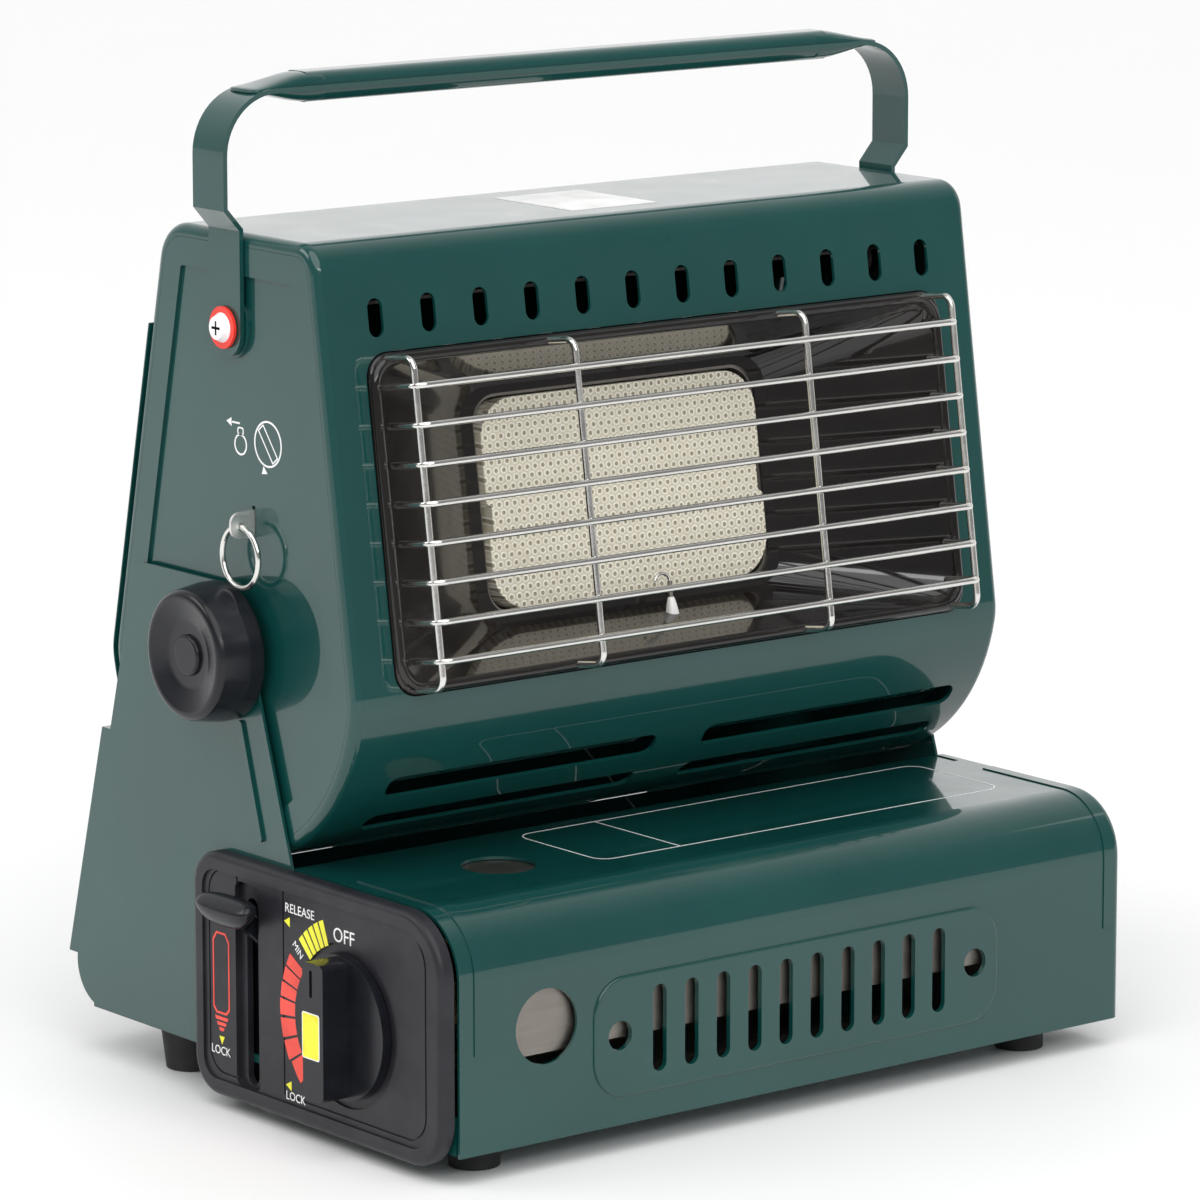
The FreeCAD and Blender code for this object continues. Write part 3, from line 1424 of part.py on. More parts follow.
def make_handle():
    """Strip handle with cranked ends and a rolled grip."""
    body = new_body("carry_handle")
    gauge = s.handle_strip
    inner_face = head_half + s.play
    arm = handle_half
    foot = s.handle_pivot - 9
    crank_low, crank_high = s.head_top + 1.0, s.head_top + 7.5
    top = s.handle_top
    path = [
        (inner_face + gauge, foot), (inner_face + gauge, crank_low), (arm, crank_high),
        (arm, top, s.handle_bend), (-arm, top, s.handle_bend), (-arm, crank_high),
        (-inner_face - gauge, crank_low), (-inner_face - gauge, foot), (-inner_face, foot),
        (-inner_face, crank_low + 0.6), (-arm + gauge, crank_high + 0.6),
        (-arm + gauge, top - gauge, s.handle_bend - gauge), (arm - gauge, top - gauge, s.handle_bend - gauge),
        (arm - gauge, crank_high + 0.6),
        (inner_face, crank_low + 0.6), (inner_face, foot),
    ]
    strip = outline(new_sketch(body, "handle_strip_path", "XZ_Plane", -handle_y), path)
    strip_pad = pad(body, strip, s.handle_width, symmetric=True)

    def tab_corner(edge):
        box = edge.BoundBox
        flat = box.YLength < 1e-4 and box.ZLength < 1e-4
        return flat and abs(box.ZMin - foot.value) < 1e-3 and abs(box.XLength - gauge.value) < 1e-3

    fillet(body, strip_pad, s.handle_width / 2 - 0.6, tab_corner)
    grip_middle = top - s.handle_strip / 2
    grip = box_outline(new_sketch(body, "grip_round", "YZ_Plane"), handle_y, grip_middle,
                       s.grip_depth, s.grip_height, s.grip_height / 2 - 0.2)
    grip_half = handle_half - s.grip_inset
    pad(body, grip, grip_half * 2, symmetric=True)
    holes = circle(new_sketch(body, "handle_holes", "YZ_Plane"), handle_y, s.handle_pivot,
                   s.screw_radius + s.shaft_play)
    pocket(body, holes, handle_half * 2 + 10, symmetric=True)
    keep("carry_handle", body)


def make_handle_screws():
    strip_face = head_half + s.play + s.handle_strip
    washer_face = strip_face + s.play
    head_face = washer_face + 1
    shank = rod("screw_shank", s.screw_radius, head_face - side_inner + 4, side_inner - 4, handle_y,
                s.handle_pivot)
    head = taper("screw_head", 4.7, 3.6, 2.2, head_face, handle_y, s.handle_pivot)
    keep("handle_screws", pair("handle_screw_pair", fuse("handle_screw", [shank, head])))
    disc = rod("washer_disc", 6.6, 1, washer_face, handle_y, s.handle_pivot)
    bore = rod("washer_bore", s.screw_radius + s.shaft_play, 3, washer_face - 1, handle_y, s.handle_pivot)
    keep("handle_washers", pair("handle_washer_pair", cut("handle_washer", disc, [bore])))
    nut = rod("nut_disc", 5, 3.2, side_inner - 3.2, handle_y, s.handle_pivot)
    nut_bore = rod("nut_bore", s.screw_radius + s.shaft_play, 6, side_inner - 5, handle_y, s.handle_pivot)
    keep("handle_nuts", pair("handle_nut_pair", cut("handle_nut", nut, [nut_bore])))


def make_lock():
    """Child lock: a spring-loaded plate in a slit, pulled by a split ring."""
    outer = -head_half - 8
    hole_x = -head_half - 4.2
    body = new_body("lock_plate")
    sketch = new_sketch(body, "lock_plate_side", "XZ_Plane", -lock_y)
    outline(sketch, [
        (outer, s.lock_height - 4, 3.5), (-head_half + 1.5, s.lock_height - 4.4),
        (-head_half + 14, s.lock_height - 4.4), (-head_half + 14, s.lock_height + 4.4),
        (-head_half + 1.5, s.lock_height + 4.4), (outer, s.lock_height + 4, 3.5),
    ])
    pad(body, sketch, s.sheet, symmetric=True)
    hole = circle(new_sketch(body, "lock_plate_hole", "XZ_Plane", -lock_y), hole_x, s.lock_height - 0.5,
                  s.ring_wire / 2 + 0.5)
    pocket(body, hole, 6, symmetric=True)
    keep("lock_plate", body)
    ring = doc.addObject("Part::Torus", "ring_torus")
    ring.Radius1 = s.ring_radius.value
    ring.Radius2 = (s.ring_wire / 2).value
    ring.setExpression("Radius1", s.ring_radius.text)
    ring.setExpression("Radius2", (s.ring_wire / 2).text)
    set_place(ring, hole_x, lock_y, s.lock_height - 0.5 - s.ring_radius, Vector(0, 1, 0), 90)
    keep("pull_ring", ring)
    wall = 1.2
    far = -side_inner + 14
    guides = []
    near_y, far_y = lock_y - s.sheet / 2 - s.play - wall, lock_y + s.sheet / 2 + s.play
    for name, low in (("guide_front", near_y), ("guide_back", far_y)):
        guides.append(block(name, far + side_inner, wall, 14, -side_inner, low, s.lock_height - 7))
    bridge = block("guide_bridge", far + side_inner, s.sheet + s.play * 2 + wall * 2, wall, -side_inner,
                   near_y, s.lock_height + 5.8)
    keep("lock_guide", fuse("lock_guide_body", guides + [bridge]))


def build():
    make_stand("stand_left", -1)
    make_stand("stand_right", 1)
    make_rear_panel()
    make_base_pan()
    make_feet()
    make_rails()
    make_lid_pins()
    make_lid()
    make_lid_liner()
    make_panel()
    make_dial()
    make_spindle()
    make_valve()
    make_igniter()
    make_lever()
    make_lever_bracket()
    make_pusher()
    make_head_shell()
    make_side("side_left", -1)
    make_side("side_right", 1)
    make_back()
    make_reflector()
    make_burner()
    make_mixer()
    make_injector()
    make_igniting()
    make_guard()
    make_baffle()
    make_tilt_hardware()
    make_tilt_knob("tilt_knob_left", -1)
    make_tilt_knob("tilt_knob_right", 1)
    make_handle()
    make_handle_screws()
    make_lock()
    doc.recompute()


def check():
    for item in doc.Objects:
        if "Invalid" in item.State or "Error" in item.State:
            raise RuntimeError(f"{item.Label} failed: {item.State}")
    for name, piece in nodes.items():
        if piece.Shape.isNull() or not piece.Shape.isValid():
            raise RuntimeError(f"{name} has no valid shape")


def write():
    os.makedirs("parts", exist_ok=True)
    for name, piece in nodes.items():
        piece.Shape.exportStep(f"parts/{name}.step")


build()
check()
write()
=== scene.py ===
import json
import math
import bmesh
import bpy
from mathutils import Matrix, Vector


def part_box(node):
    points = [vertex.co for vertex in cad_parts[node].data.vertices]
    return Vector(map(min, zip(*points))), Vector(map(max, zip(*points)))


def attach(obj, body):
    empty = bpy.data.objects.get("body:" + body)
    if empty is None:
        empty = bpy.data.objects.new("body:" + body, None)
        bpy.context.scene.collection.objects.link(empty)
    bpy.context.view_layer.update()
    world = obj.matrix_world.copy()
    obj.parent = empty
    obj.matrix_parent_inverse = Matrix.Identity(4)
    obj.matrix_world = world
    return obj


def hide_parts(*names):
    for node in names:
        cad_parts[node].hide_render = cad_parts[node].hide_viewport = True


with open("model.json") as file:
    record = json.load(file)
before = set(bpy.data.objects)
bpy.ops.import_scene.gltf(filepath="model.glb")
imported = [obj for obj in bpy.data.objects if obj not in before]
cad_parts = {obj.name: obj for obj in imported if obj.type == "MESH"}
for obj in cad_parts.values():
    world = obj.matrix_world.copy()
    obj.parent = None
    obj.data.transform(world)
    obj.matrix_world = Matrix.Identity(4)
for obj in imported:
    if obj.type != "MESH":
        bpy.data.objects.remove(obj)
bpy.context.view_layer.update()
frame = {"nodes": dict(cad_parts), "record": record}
nodes = frame["nodes"]

MM = 0.001

# Thickness of the prints, in mm, and how finely the skins are rounded
PRINT = 0.07
THIN_PRINT = 0.05
SKIN_LEVELS = 2

# Angles, in degrees: the face's lean from upright, the lever at rest, the corners of an arrow head
LEAN = 8.4
LEVER_REST = 43.0
ARROW_CORNERS = (0, 125, 235)

# X of the faces on the left, in mm
PANEL = -137.42
KNOB_FOOT = -137.3
BAR = -149.985
SLOT_BACK = -131.5
SIDE_FACE = -130.52

# Y and Z of places seen from the left, in mm
DIAL = (-54.0, 41.0)
LABEL = (-53.0, 39.6)
CANISTER = (12.4, 44.4)
HANDLE_PIVOT = (12.5, 248.9)

# Heights and places in the part's frame, in mm; the window's middle is measured up the leaning face
LID_TOP = 83.01
HEAD_TOP = 278.51
WINDOW_UP = 36
FACE_FOOT = (0.0, -49.616, 156.62)
LEVER_PIVOT = (-112.0, -2.0, 40.0)
GRIP = (0, 12.5, 321.75)

# Distance between the tile's holes in a row, in mm
TILE_PITCH = 3.1


# Shader helpers

class Finish:
    """A principled material with short calls for the nodes that it needs."""

    def __init__(self, name, color, rough, metal=0.0, coat=0.0, coat_rough=0.04):
        self.material = bpy.data.materials.new(name)
        self.material.use_nodes = True
        self.tree = self.material.node_tree
        self.shader = self.tree.nodes["Principled BSDF"]
        self.coords = self.tree.nodes.new("ShaderNodeTexCoord")
        self.height = None
        self.set("Base Color", (*color, 1.0))
        self.set("Roughness", rough)
        self.set("Metallic", metal)
        self.set("Coat Weight", coat)
        self.set("Coat Roughness", coat_rough)
        if coat > 0.0:
            self.set("Specular IOR Level", 0.15)

    def set(self, name, value):
        self.shader.inputs[name].default_value = value

    def node(self, kind, **values):
        made = self.tree.nodes.new(kind)
        for key, value in values.items():
            setattr(made, key, value)
        return made

    def link(self, source, target):
        self.tree.links.new(source, target)

    def noise(self, scale, detail=4.0, stretch=(1, 1, 1)):
        mapping = self.node("ShaderNodeMapping")
        mapping.inputs["Scale"].default_value = stretch
        self.link(self.coords.outputs["Object"], mapping.inputs["Vector"])
        made = self.node("ShaderNodeTexNoise")
        made.inputs["Scale"].default_value = scale
        made.inputs["Detail"].default_value = detail
        self.link(mapping.outputs["Vector"], made.inputs["Vector"])
        return made.outputs["Fac"]

    def math(self, operation, first, second=None):
        made = self.node("ShaderNodeMath", operation=operation)
        for index, value in enumerate((first, second)):
            if value is None:
                continue
            if isinstance(value, (int, float)):
                made.inputs[index].default_value = value
            else:
                self.link(value, made.inputs[index])
        return made.outputs["Value"]

    def spread(self, source, low, high):
        made = self.node("ShaderNodeMapRange")
        made.inputs["From Min"].default_value = 0.3
        made.inputs["From Max"].default_value = 0.7
        made.inputs["To Min"].default_value = low
        made.inputs["To Max"].default_value = high
        self.link(source, made.inputs["Value"])
        return made.outputs["Result"]

    def mix(self, factor, first, second):
        made = self.node("ShaderNodeMix", data_type="RGBA")
        made.inputs["Factor"].default_value = 0.0
        self.link(factor, made.inputs["Factor"])
        for slot, value in (("A", first), ("B", second)):
            socket = [item for item in made.inputs if item.name == slot and item.type == "RGBA"][0]
            if isinstance(value, tuple):
                socket.default_value = (*value, 1.0)
            else:
                self.link(value, socket)
        return [item for item in made.outputs if item.type == "RGBA"][0]

    def vary_rough(self, scale, low, high, stretch=(1, 1, 1)):
        rough = self.spread(self.noise(scale, 5.0, stretch), low, high)
        self.link(rough, self.shader.inputs["Roughness"])

    def vary_color(self, scale, first, second):
        factor = self.spread(self.noise(scale, 3.0), 0.0, 1.0)
        self.link(self.mix(factor, first, second), self.shader.inputs["Base Color"])

    def bump(self, height, strength, distance):
        made = self.node("ShaderNodeBump")
        made.inputs["Strength"].default_value = strength
        made.inputs["Distance"].default_value = distance
        self.link(height, made.inputs["Height"])
        if self.height is not None:
            self.link(self.height, made.inputs["Normal"])
        self.height = made.outputs["Normal"]
        self.link(self.height, self.shader.inputs["Normal"])


def paint(name, color, dark, rough=0.32, coat=1.0, peel=0.05):
    """Stoved enamel on sheet steel: a clear gloss with faint orange peel."""
    made = Finish(name, color, rough, 0.0, coat, 0.03)
    made.vary_color(14.0, color, dark)
    made.vary_rough(60.0, rough - 0.05, rough + 0.08)
    made.bump(made.noise(420.0, 2.0), peel, 0.0004)
    made.bump(made.noise(9.0, 1.0), 0.10, 0.0012)
    return made.material


def plastic(name, color, rough=0.42, grain=0.22, gloss=0.5):
    """Moulded plastic with a fine spark-eroded grain."""
    made = Finish(name, color, rough)
    made.set("Specular IOR Level", gloss)
    lighter = tuple(min(1.0, part * 1.4 + 0.002) for part in color)
    made.vary_color(90.0, color, lighter)
    made.vary_rough(240.0, rough * 0.92, rough * 1.12)
    made.bump(made.noise(2600.0, 2.0), grain, 0.0002)
    return made.material


def metal(name, color, rough=0.28, stretch=(1, 30, 30), tarnish=0.8):
    """Bright or rolled metal with fine draw lines and light tarnish."""
    made = Finish(name, color, rough, 1.0)
    made.vary_color(30.0, color, tuple(part * tarnish for part in color))
    made.vary_rough(70.0, rough - 0.08, rough + 0.12, stretch)
    made.bump(made.noise(500.0, 2.0, stretch), 0.12, 0.0002)
    return made.material


def rubber(name, color):
    """Matt rubber with a coarse grain."""
    made = Finish(name, color, 0.75)
    made.vary_color(120.0, color, tuple(part * 1.8 + 0.004 for part in color))
    made.bump(made.noise(900.0, 3.0), 0.4, 0.0004)
    return made.material


def enamel(name):
    """Glossy dark vitreous enamel on the reflector, warm where heat has reached it."""
    made = Finish(name, (0.007, 0.006, 0.006), 0.14, 0.0, 0.85, 0.05)
    made.vary_color(18.0, (0.006, 0.005, 0.005), (0.015, 0.012, 0.011))
    made.vary_rough(40.0, 0.12, 0.22)
    made.bump(made.noise(60.0, 2.0), 0.22, 0.0010)
    return made.material


def tile_ceramic(name):
    """Pierced ceramic: staggered round holes, each with a pale raised rim; the holes and the low ground
    between the rims are painted darker as shade.
    """
    made = Finish(name, (0.86, 0.80, 0.66), 0.85)
    pitch = TILE_PITCH * MM
    row = math.sqrt(3)
    split = made.node("ShaderNodeSeparateXYZ")
    made.link(made.coords.outputs["Object"], split.inputs["Vector"])
    across = split.outputs["X"]
    up = made.math("DIVIDE", split.outputs["Z"], math.cos(math.radians(LEAN)))
    nearest = None
    for shift in (0.0, 0.5):
        sx = made.math("ADD", made.math("DIVIDE", across, pitch), 400.0 + shift)
        sy = made.math("ADD", made.math("DIVIDE", up, pitch * row), 400.0 + shift)
        dx = made.math("SUBTRACT", made.math("FRACT", sx), 0.5)
        dy = made.math("MULTIPLY", made.math("SUBTRACT", made.math("FRACT", sy), 0.5), row)
        squares = made.math("ADD", made.math("MULTIPLY", dx, dx), made.math("MULTIPLY", dy, dy))
        gap = made.math("SQRT", squares)
        nearest = gap if nearest is None else made.math("MINIMUM", nearest, gap)

    def ramp(low, high, start=0.0, end=1.0):
        step = made.node("ShaderNodeMapRange")
        for key, value in (("From Min", low), ("From Max", high), ("To Min", start), ("To Max", end)):
            step.inputs[key].default_value = value
        made.link(nearest, step.inputs["Value"])
        return step.outputs["Result"]

    hole = ramp(0.17, 0.24)
    groove = ramp(0.38, 0.46)
    clay = made.mix(made.spread(made.noise(260.0, 4.0), 0.0, 1.0), (0.94, 0.91, 0.80), (0.87, 0.83, 0.70))
    # Painted shade: the low ground between the rims is coloured darker tan, and the holes dark brown.
    clay_with_painted_shade = made.mix(groove, clay, (0.66, 0.61, 0.47))
    made.link(made.mix(hole, (0.38, 0.33, 0.24), clay_with_painted_shade), made.shader.inputs["Base Color"])
    made.bump(hole, 0.8, 0.0008)
    made.bump(ramp(0.34, 0.46, 1.0, 0.0), 0.5, 0.0004)
    made.bump(made.noise(900.0, 4.0), 0.3, 0.0003)
    return made.material


GREEN = (0.0045, 0.0600, 0.0540)
GREEN_DARK = (0.0035, 0.0500, 0.0455)
finishes = {
    "case_paint": paint("case_paint", GREEN, GREEN_DARK),
    "lid_paint": paint("lid_paint", GREEN, GREEN_DARK),
    "handle_paint": paint("handle_paint", GREEN, GREEN_DARK),
    "panel_black": plastic("panel_black", (0.017, 0.017, 0.021), 0.38, 0.10, 0.30),
    "knob_black": plastic("knob_black", (0.0075, 0.0080, 0.0110), 0.22, 0.05, 0.36),
    "bare_steel": metal("bare_steel", (0.34, 0.31, 0.28), 0.40),
    "enamel": enamel("enamel"),
    "tile": tile_ceramic("tile"),
    "nickel": metal("nickel", (0.80, 0.79, 0.76), 0.16, (1, 1, 1), 0.9),
    "brass": metal("brass", (0.72, 0.52, 0.22), 0.30),
    "foot_rubber": rubber("foot_rubber", (0.012, 0.012, 0.013)),
    "screw_white": plastic("screw_white", (0.80, 0.80, 0.84), 0.30, 0.10),
    "washer_red": plastic("washer_red", (0.74, 0.030, 0.018), 0.30, 0.10),
    "ceramic_white": plastic("ceramic_white", (0.80, 0.79, 0.76), 0.35, 0.10),
}
print_white = plastic("print_white", (0.80, 0.81, 0.80), 0.45, 0.05)
print_red = plastic("print_red", (0.72, 0.060, 0.040), 0.45, 0.05)
print_yellow = plastic("print_yellow", (0.80, 0.72, 0.030), 0.45, 0.05)
# Near-black for the dial's index mark, and also painted shade: the strips behind the lever's slot, the ring
# in the window's gap and the screws' cross recesses.
print_and_painted_shade_dark = plastic("print_and_painted_shade_dark", (0.0010, 0.0010, 0.0012), 0.8, 0.05, 0.05)
label_white = plastic("label_white", (0.80, 0.80, 0.78), 0.40, 0.05)
galvanised = metal("galvanised", (0.86, 0.86, 0.84), 0.46, (1, 30, 30), 0.92)
# Near-black steel on the lever's bracket is painted shade: it keeps the bracket dark where it shows through
# the lever's slot.
painted_shade_steel = metal("painted_shade_steel", (0.030, 0.030, 0.032), 0.45)
LOOKS = {"lock_plate": galvanised, "lever_bracket": painted_shade_steel}

for row in frame["record"]["subparts"]:
    node = nodes[row["node"]]
    node.data.materials.clear()
    node.data.materials.append(LOOKS.get(row["node"], finishes[row["material_slot"]]))


# Piece helpers

def piece(name, mesh, body, material):
    """An object for a mesh, on its body and with its material slot."""
    made = bpy.data.objects.new(name, mesh)
    bpy.context.scene.collection.objects.link(made)
    made.data.materials.append(material)
    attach(made, body)
    return made


def plate(name, outline, place, thick, body, slot, material, holes=()):
    """A thin plate: a flat outline in mm, raised by its thickness, set by a matrix."""
    mesh = bpy.data.meshes.new(name)
    build = bmesh.new()
    for loop in [outline, *holes]:
        verts = [build.verts.new((x * MM, y * MM, 0.0)) for x, y in loop]
        for index, vert in enumerate(verts):
            build.edges.new((vert, verts[(index + 1) % len(verts)]))
    bmesh.ops.triangle_fill(build, edges=build.edges[:], use_beauty=True, use_dissolve=False)
    bmesh.ops.recalc_face_normals(build, faces=build.faces[:])
    if build.faces[0].normal.z < 0:
        bmesh.ops.reverse_faces(build, faces=build.faces[:])
    raised = bmesh.ops.extrude_face_region(build, geom=build.faces[:])
    top = [item for item in raised["geom"] if isinstance(item, bmesh.types.BMVert)]
    bmesh.ops.translate(build, verts=top, vec=(0, 0, thick * MM))
    bmesh.ops.recalc_face_normals(build, faces=build.faces[:])
    build.transform(place)
    build.to_mesh(mesh)
    build.free()
    return piece(name, mesh, body, material)


def band(name, loop, inner, place, body, slot, material, thick=PRINT):
    """A printed line: the strip between two closed outlines."""
    return plate(name, loop, place, thick, body, slot, material, [inner])


def soften(made, width, segments=3):
    """Rounded edges with flat faces left flat."""
    for face in made.data.polygons:
        face.use_smooth = True
    edge = made.modifiers.new("edge", "BEVEL")
    edge.width = width * MM
    edge.segments = segments
    edge.limit_method = "ANGLE"
    edge.harden_normals = True
    return made


def from_curve(name, curve, place, body, material):
    """A piece from the mesh that a curve gives, set by a matrix."""
    shape = bpy.data.objects.new(name + "_curve", curve)
    mesh = bpy.data.meshes.new_from_object(shape)
    bpy.data.objects.remove(shape)
    mesh.transform(place)
    return piece(name, mesh, body, material)


def word(name, text, size, place, body, slot, material):
    """Raised letters, centred on their place."""
    curve = bpy.data.curves.new(name, "FONT")
    curve.body = text
    curve.size = size * MM
    curve.extrude = THIN_PRINT * MM
    curve.align_x = "CENTER"
    curve.align_y = "CENTER"
    curve.resolution_u = 4
    return from_curve(name, curve, place, body, material)


def round_bar(name, radius, resolution):
    """A curve without points that gives a round bar of this radius in mm."""
    curve = bpy.data.curves.new(name, "CURVE")
    curve.dimensions = "3D"
    curve.bevel_depth = radius * MM
    curve.bevel_resolution = resolution
    return curve


def wire(name, points, radius, place, body, material):
    """A bent wire through points in mm."""
    curve = round_bar(name, radius, 3)
    curve.use_fill_caps = True
    spline = curve.splines.new("BEZIER")
    spline.bezier_points.add(len(points) - 1)
    for knot, point in zip(spline.bezier_points, points):
        knot.co = Vector(point) * MM
        knot.handle_left_type = knot.handle_right_type = "AUTO"
    return from_curve(name, curve, place, body, material)


def rounded_section(width, height):
    """Points of a soft-cornered section, its width along Y and its height along Z."""
    corners, power = 16, 3.0
    points = []
    for step in range(corners):
        angle = 2 * math.pi * (step + 0.5) / corners
        c, s = math.cos(angle), math.sin(angle)
        points.append((math.copysign(abs(c) ** (2 / power), c) * width / 2,
                       math.copysign(abs(s) ** (2 / power), s) * height / 2))
    return points


def skin(name, rows, place, body, material):
    """A closed skin through sections: rows of (along, centre across, centre up, width, height), in mm."""
    mesh = bpy.data.meshes.new(name)
    build = bmesh.new()
    rings = []
    for along, across, up, width, height in rows:
        ring = [build.verts.new((along * MM, (across + v) * MM, (up + w) * MM))
                for v, w in rounded_section(width, height)]
        rings.append(ring)
    for first, second in zip(rings, rings[1:]):
        for index in range(len(first)):
            after = (index + 1) % len(first)
            build.faces.new((first[index], first[after], second[after], second[index]))
    build.faces.new(rings[0][::-1])
    build.faces.new(rings[-1])
    bmesh.ops.recalc_face_normals(build, faces=build.faces[:])
    for face in build.faces:
        face.smooth = True
    build.transform(place)
    build.to_mesh(mesh)
    build.free()
    made = piece(name, mesh, body, material)
    soft = made.modifiers.new("soft", "SUBSURF")
    soft.levels = SKIN_LEVELS
    soft.render_levels = SKIN_LEVELS
    return made


# Outlines, in mm

def rounded(x, y, width, height, radius, steps=6):
    """Corner points of a rounded rectangle about (x, y)."""
    points = []
    for turn, (sx, sy) in enumerate(((1, 1), (-1, 1), (-1, -1), (1, -1))):
        cx = x + sx * (width / 2 - radius)
        cy = y + sy * (height / 2 - radius)
        for step in range(steps + 1):
            angle = math.radians(90 * turn + 90 * step / steps)
            points.append((cx + radius * math.cos(angle), cy + radius * math.sin(angle)))
    return points


def circle(radius, steps):
    """Points of a circle about the origin."""
    turns = [2 * math.pi * step / steps for step in range(steps)]
    return [(radius * math.cos(turn), radius * math.sin(turn)) for turn in turns]


def triangle(size, toward):
    """Arrow head as steps in Y and Z, turned from straight up towards the back, in degrees."""
    turns = [math.radians(toward) + math.radians(angle) for angle in ARROW_CORNERS]
    return [(size * math.sin(turn), size * math.cos(turn)) for turn in turns]


def sector(low, high, start, end):
    """A part of a ring about the dial, angles from straight up towards the back, in degrees."""
    steps = 4

    def at(radius, angle):
        turn = math.radians(angle)
        return DIAL[0] + radius * math.sin(turn), DIAL[1] + radius * math.cos(turn)

    outer = [at(high, start + (end - start) * step / steps) for step in range(steps + 1)]
    inner = [at(low, end + (start - end) * step / steps) for step in range(steps + 1)]
    return outer + inner


# Planes that the outlines are set on

def on_left(x, y=0.0, z=0.0):
    """Plane that faces -X: its X runs to the front and its Y runs up."""
    turn = Matrix(((0, 0, -1), (-1, 0, 0), (0, 1, 0))).to_4x4()
    return Matrix.Translation(Vector((x, y, z)) * MM) @ turn


def on_right(x, y, z):
    """Plane that faces +X: its X runs to the back and its Y runs up."""
    turn = Matrix(((0, 0, 1), (1, 0, 0), (0, 1, 0))).to_4x4()
    return Matrix.Translation(Vector((x, y, z)) * MM) @ turn


def on_top(x, y, z):
    """Plane that faces +Z: its X runs right and its Y runs to the back."""
    return Matrix.Translation(Vector((x, y, z)) * MM)


def leaning(x, y, z):
    """Plane of the leaning face: its X runs right, its Y up the face and its Z out of it."""
    foot = Matrix.Translation(Vector(FACE_FOOT) * MM)
    turn = Matrix.Rotation(math.radians(90 - LEAN), 4, "X")
    return foot @ turn @ Matrix.Translation(Vector((x, y, z)) * MM)


# Control panel print

def spot(y, z):
    """Panel coordinates of a place given by its Y and Z in mm."""
    return -y, z


def panel_plate(name, points, material):
    """A print on the control panel, from points in Y and Z."""
    outline = [spot(y, z) for y, z in points]
    return plate(name, outline, on_left(PANEL), PRINT, "base", "panel_black", material)


def gauge():
    """Yellow low marks of one size, then red high marks whose foot moves out at the end of the turn."""
    first, pitch, width = 20.5, 5.6, 4.2
    for index in range(5):
        start = first + index * pitch
        panel_plate(f"gauge_low_{index}", sector(25.2, 33.2, start, start + width), print_yellow)
    high_marks = (  # start, end and outer radius
        (59.5, 66.8, 33.8), (68.2, 75.8, 34.0), (77.2, 85.2, 34.3), (86.6, 95.4, 34.6),
        (97.0, 107.4, 34.6), (109.0, 119.5, 34.4), (121.0, 134.0, 33.4),
    )
    for index, (start, end, tip) in enumerate(high_marks):
        foot = 23.4 + max(0, index - 4) * 1.4
        panel_plate(f"gauge_high_{index}", sector(foot, tip, start, end), print_red)


def canister():
    """Plain canister outline with three neck bars that narrow downwards."""
    middle_y, middle_z = CANISTER
    shape = [(16.9, 33.0), (16.9, 55.0), (14.9, 57.6), (9.9, 57.6),
             (7.9, 55.0), (7.9, 33.0), (9.6, 31.2), (15.2, 31.2)]
    inner = [(middle_y + (y - middle_y) * 0.86, middle_z + (z - middle_z) * 0.95) for y, z in shape]
    band("canister_line", [spot(*point) for point in shape], [spot(*point) for point in inner],
         on_left(PANEL), "base", "panel_black", print_red)
    for index, (half, low) in enumerate(((3.6, 29.2), (2.6, 27.4), (1.5, 25.7))):
        top, foot = low + 1.1, half - 0.5
        points = [(middle_y + half, top), (middle_y + foot, low),
                  (middle_y - foot, low), (middle_y - half, top)]
        panel_plate(f"canister_neck_{index}", points, print_red)


def dial_print():
    """Plain yellow label with a white edge, and an index mark, on the dial's bar."""
    knob = ("gas_knob", "knob_black")
    edge, label = on_left(BAR, *LABEL), on_left(BAR - THIN_PRINT, *LABEL)
    index = on_left(BAR, -53.1, 56.0)
    plate("dial_label_edge", rounded(0, 0, 9.0, 14.6, 0.9), edge, 0.06, *knob, print_white)
    plate("dial_label", rounded(0, 0, 8.2, 13.8, 0.6), label, THIN_PRINT, *knob, print_yellow)
    plate("dial_index", rounded(0, 0, 1.3, 8.6, 0.6), index, THIN_PRINT, *knob, print_and_painted_shade_dark)


def panel_print():
    """All print on the control panel and on the dial."""
    panel = ("base", "panel_black", print_white)
    gauge()
    for name, text, size, y, z in (
        ("word_off", "OFF", 6.4, -53.2, 68.6),
        ("word_release", "RELEASE", 4.2, -30.1, 72.3),
        ("word_lock_dial", "LOCK", 3.9, -27.2, 12.4),
        ("word_lock_lever", "LOCK", 3.9, 13.0, 19.2),
    ):
        word(name, text, size, on_left(PANEL, y, z), *panel)
    tilt = Matrix.Rotation(math.radians(-43), 4, "Z")
    word("word_min", "MIN", 3.4, on_left(PANEL, -29.0, 59.9) @ tilt, *panel)
    for name, y, z, size, toward in (
        ("arrow_release", -23.8, 68.0, 1.9, 90),
        ("arrow_lock_dial", -24.0, 15.8, 1.9, 90),
        ("arrow_lock_lever", 12.3, 23.0, 1.7, 180),
    ):
        panel_plate(name, [(y + dy, z + dz) for dy, dz in triangle(size, toward)], print_yellow)
    canister()
    dial_print()


# Prints on the head and the lid

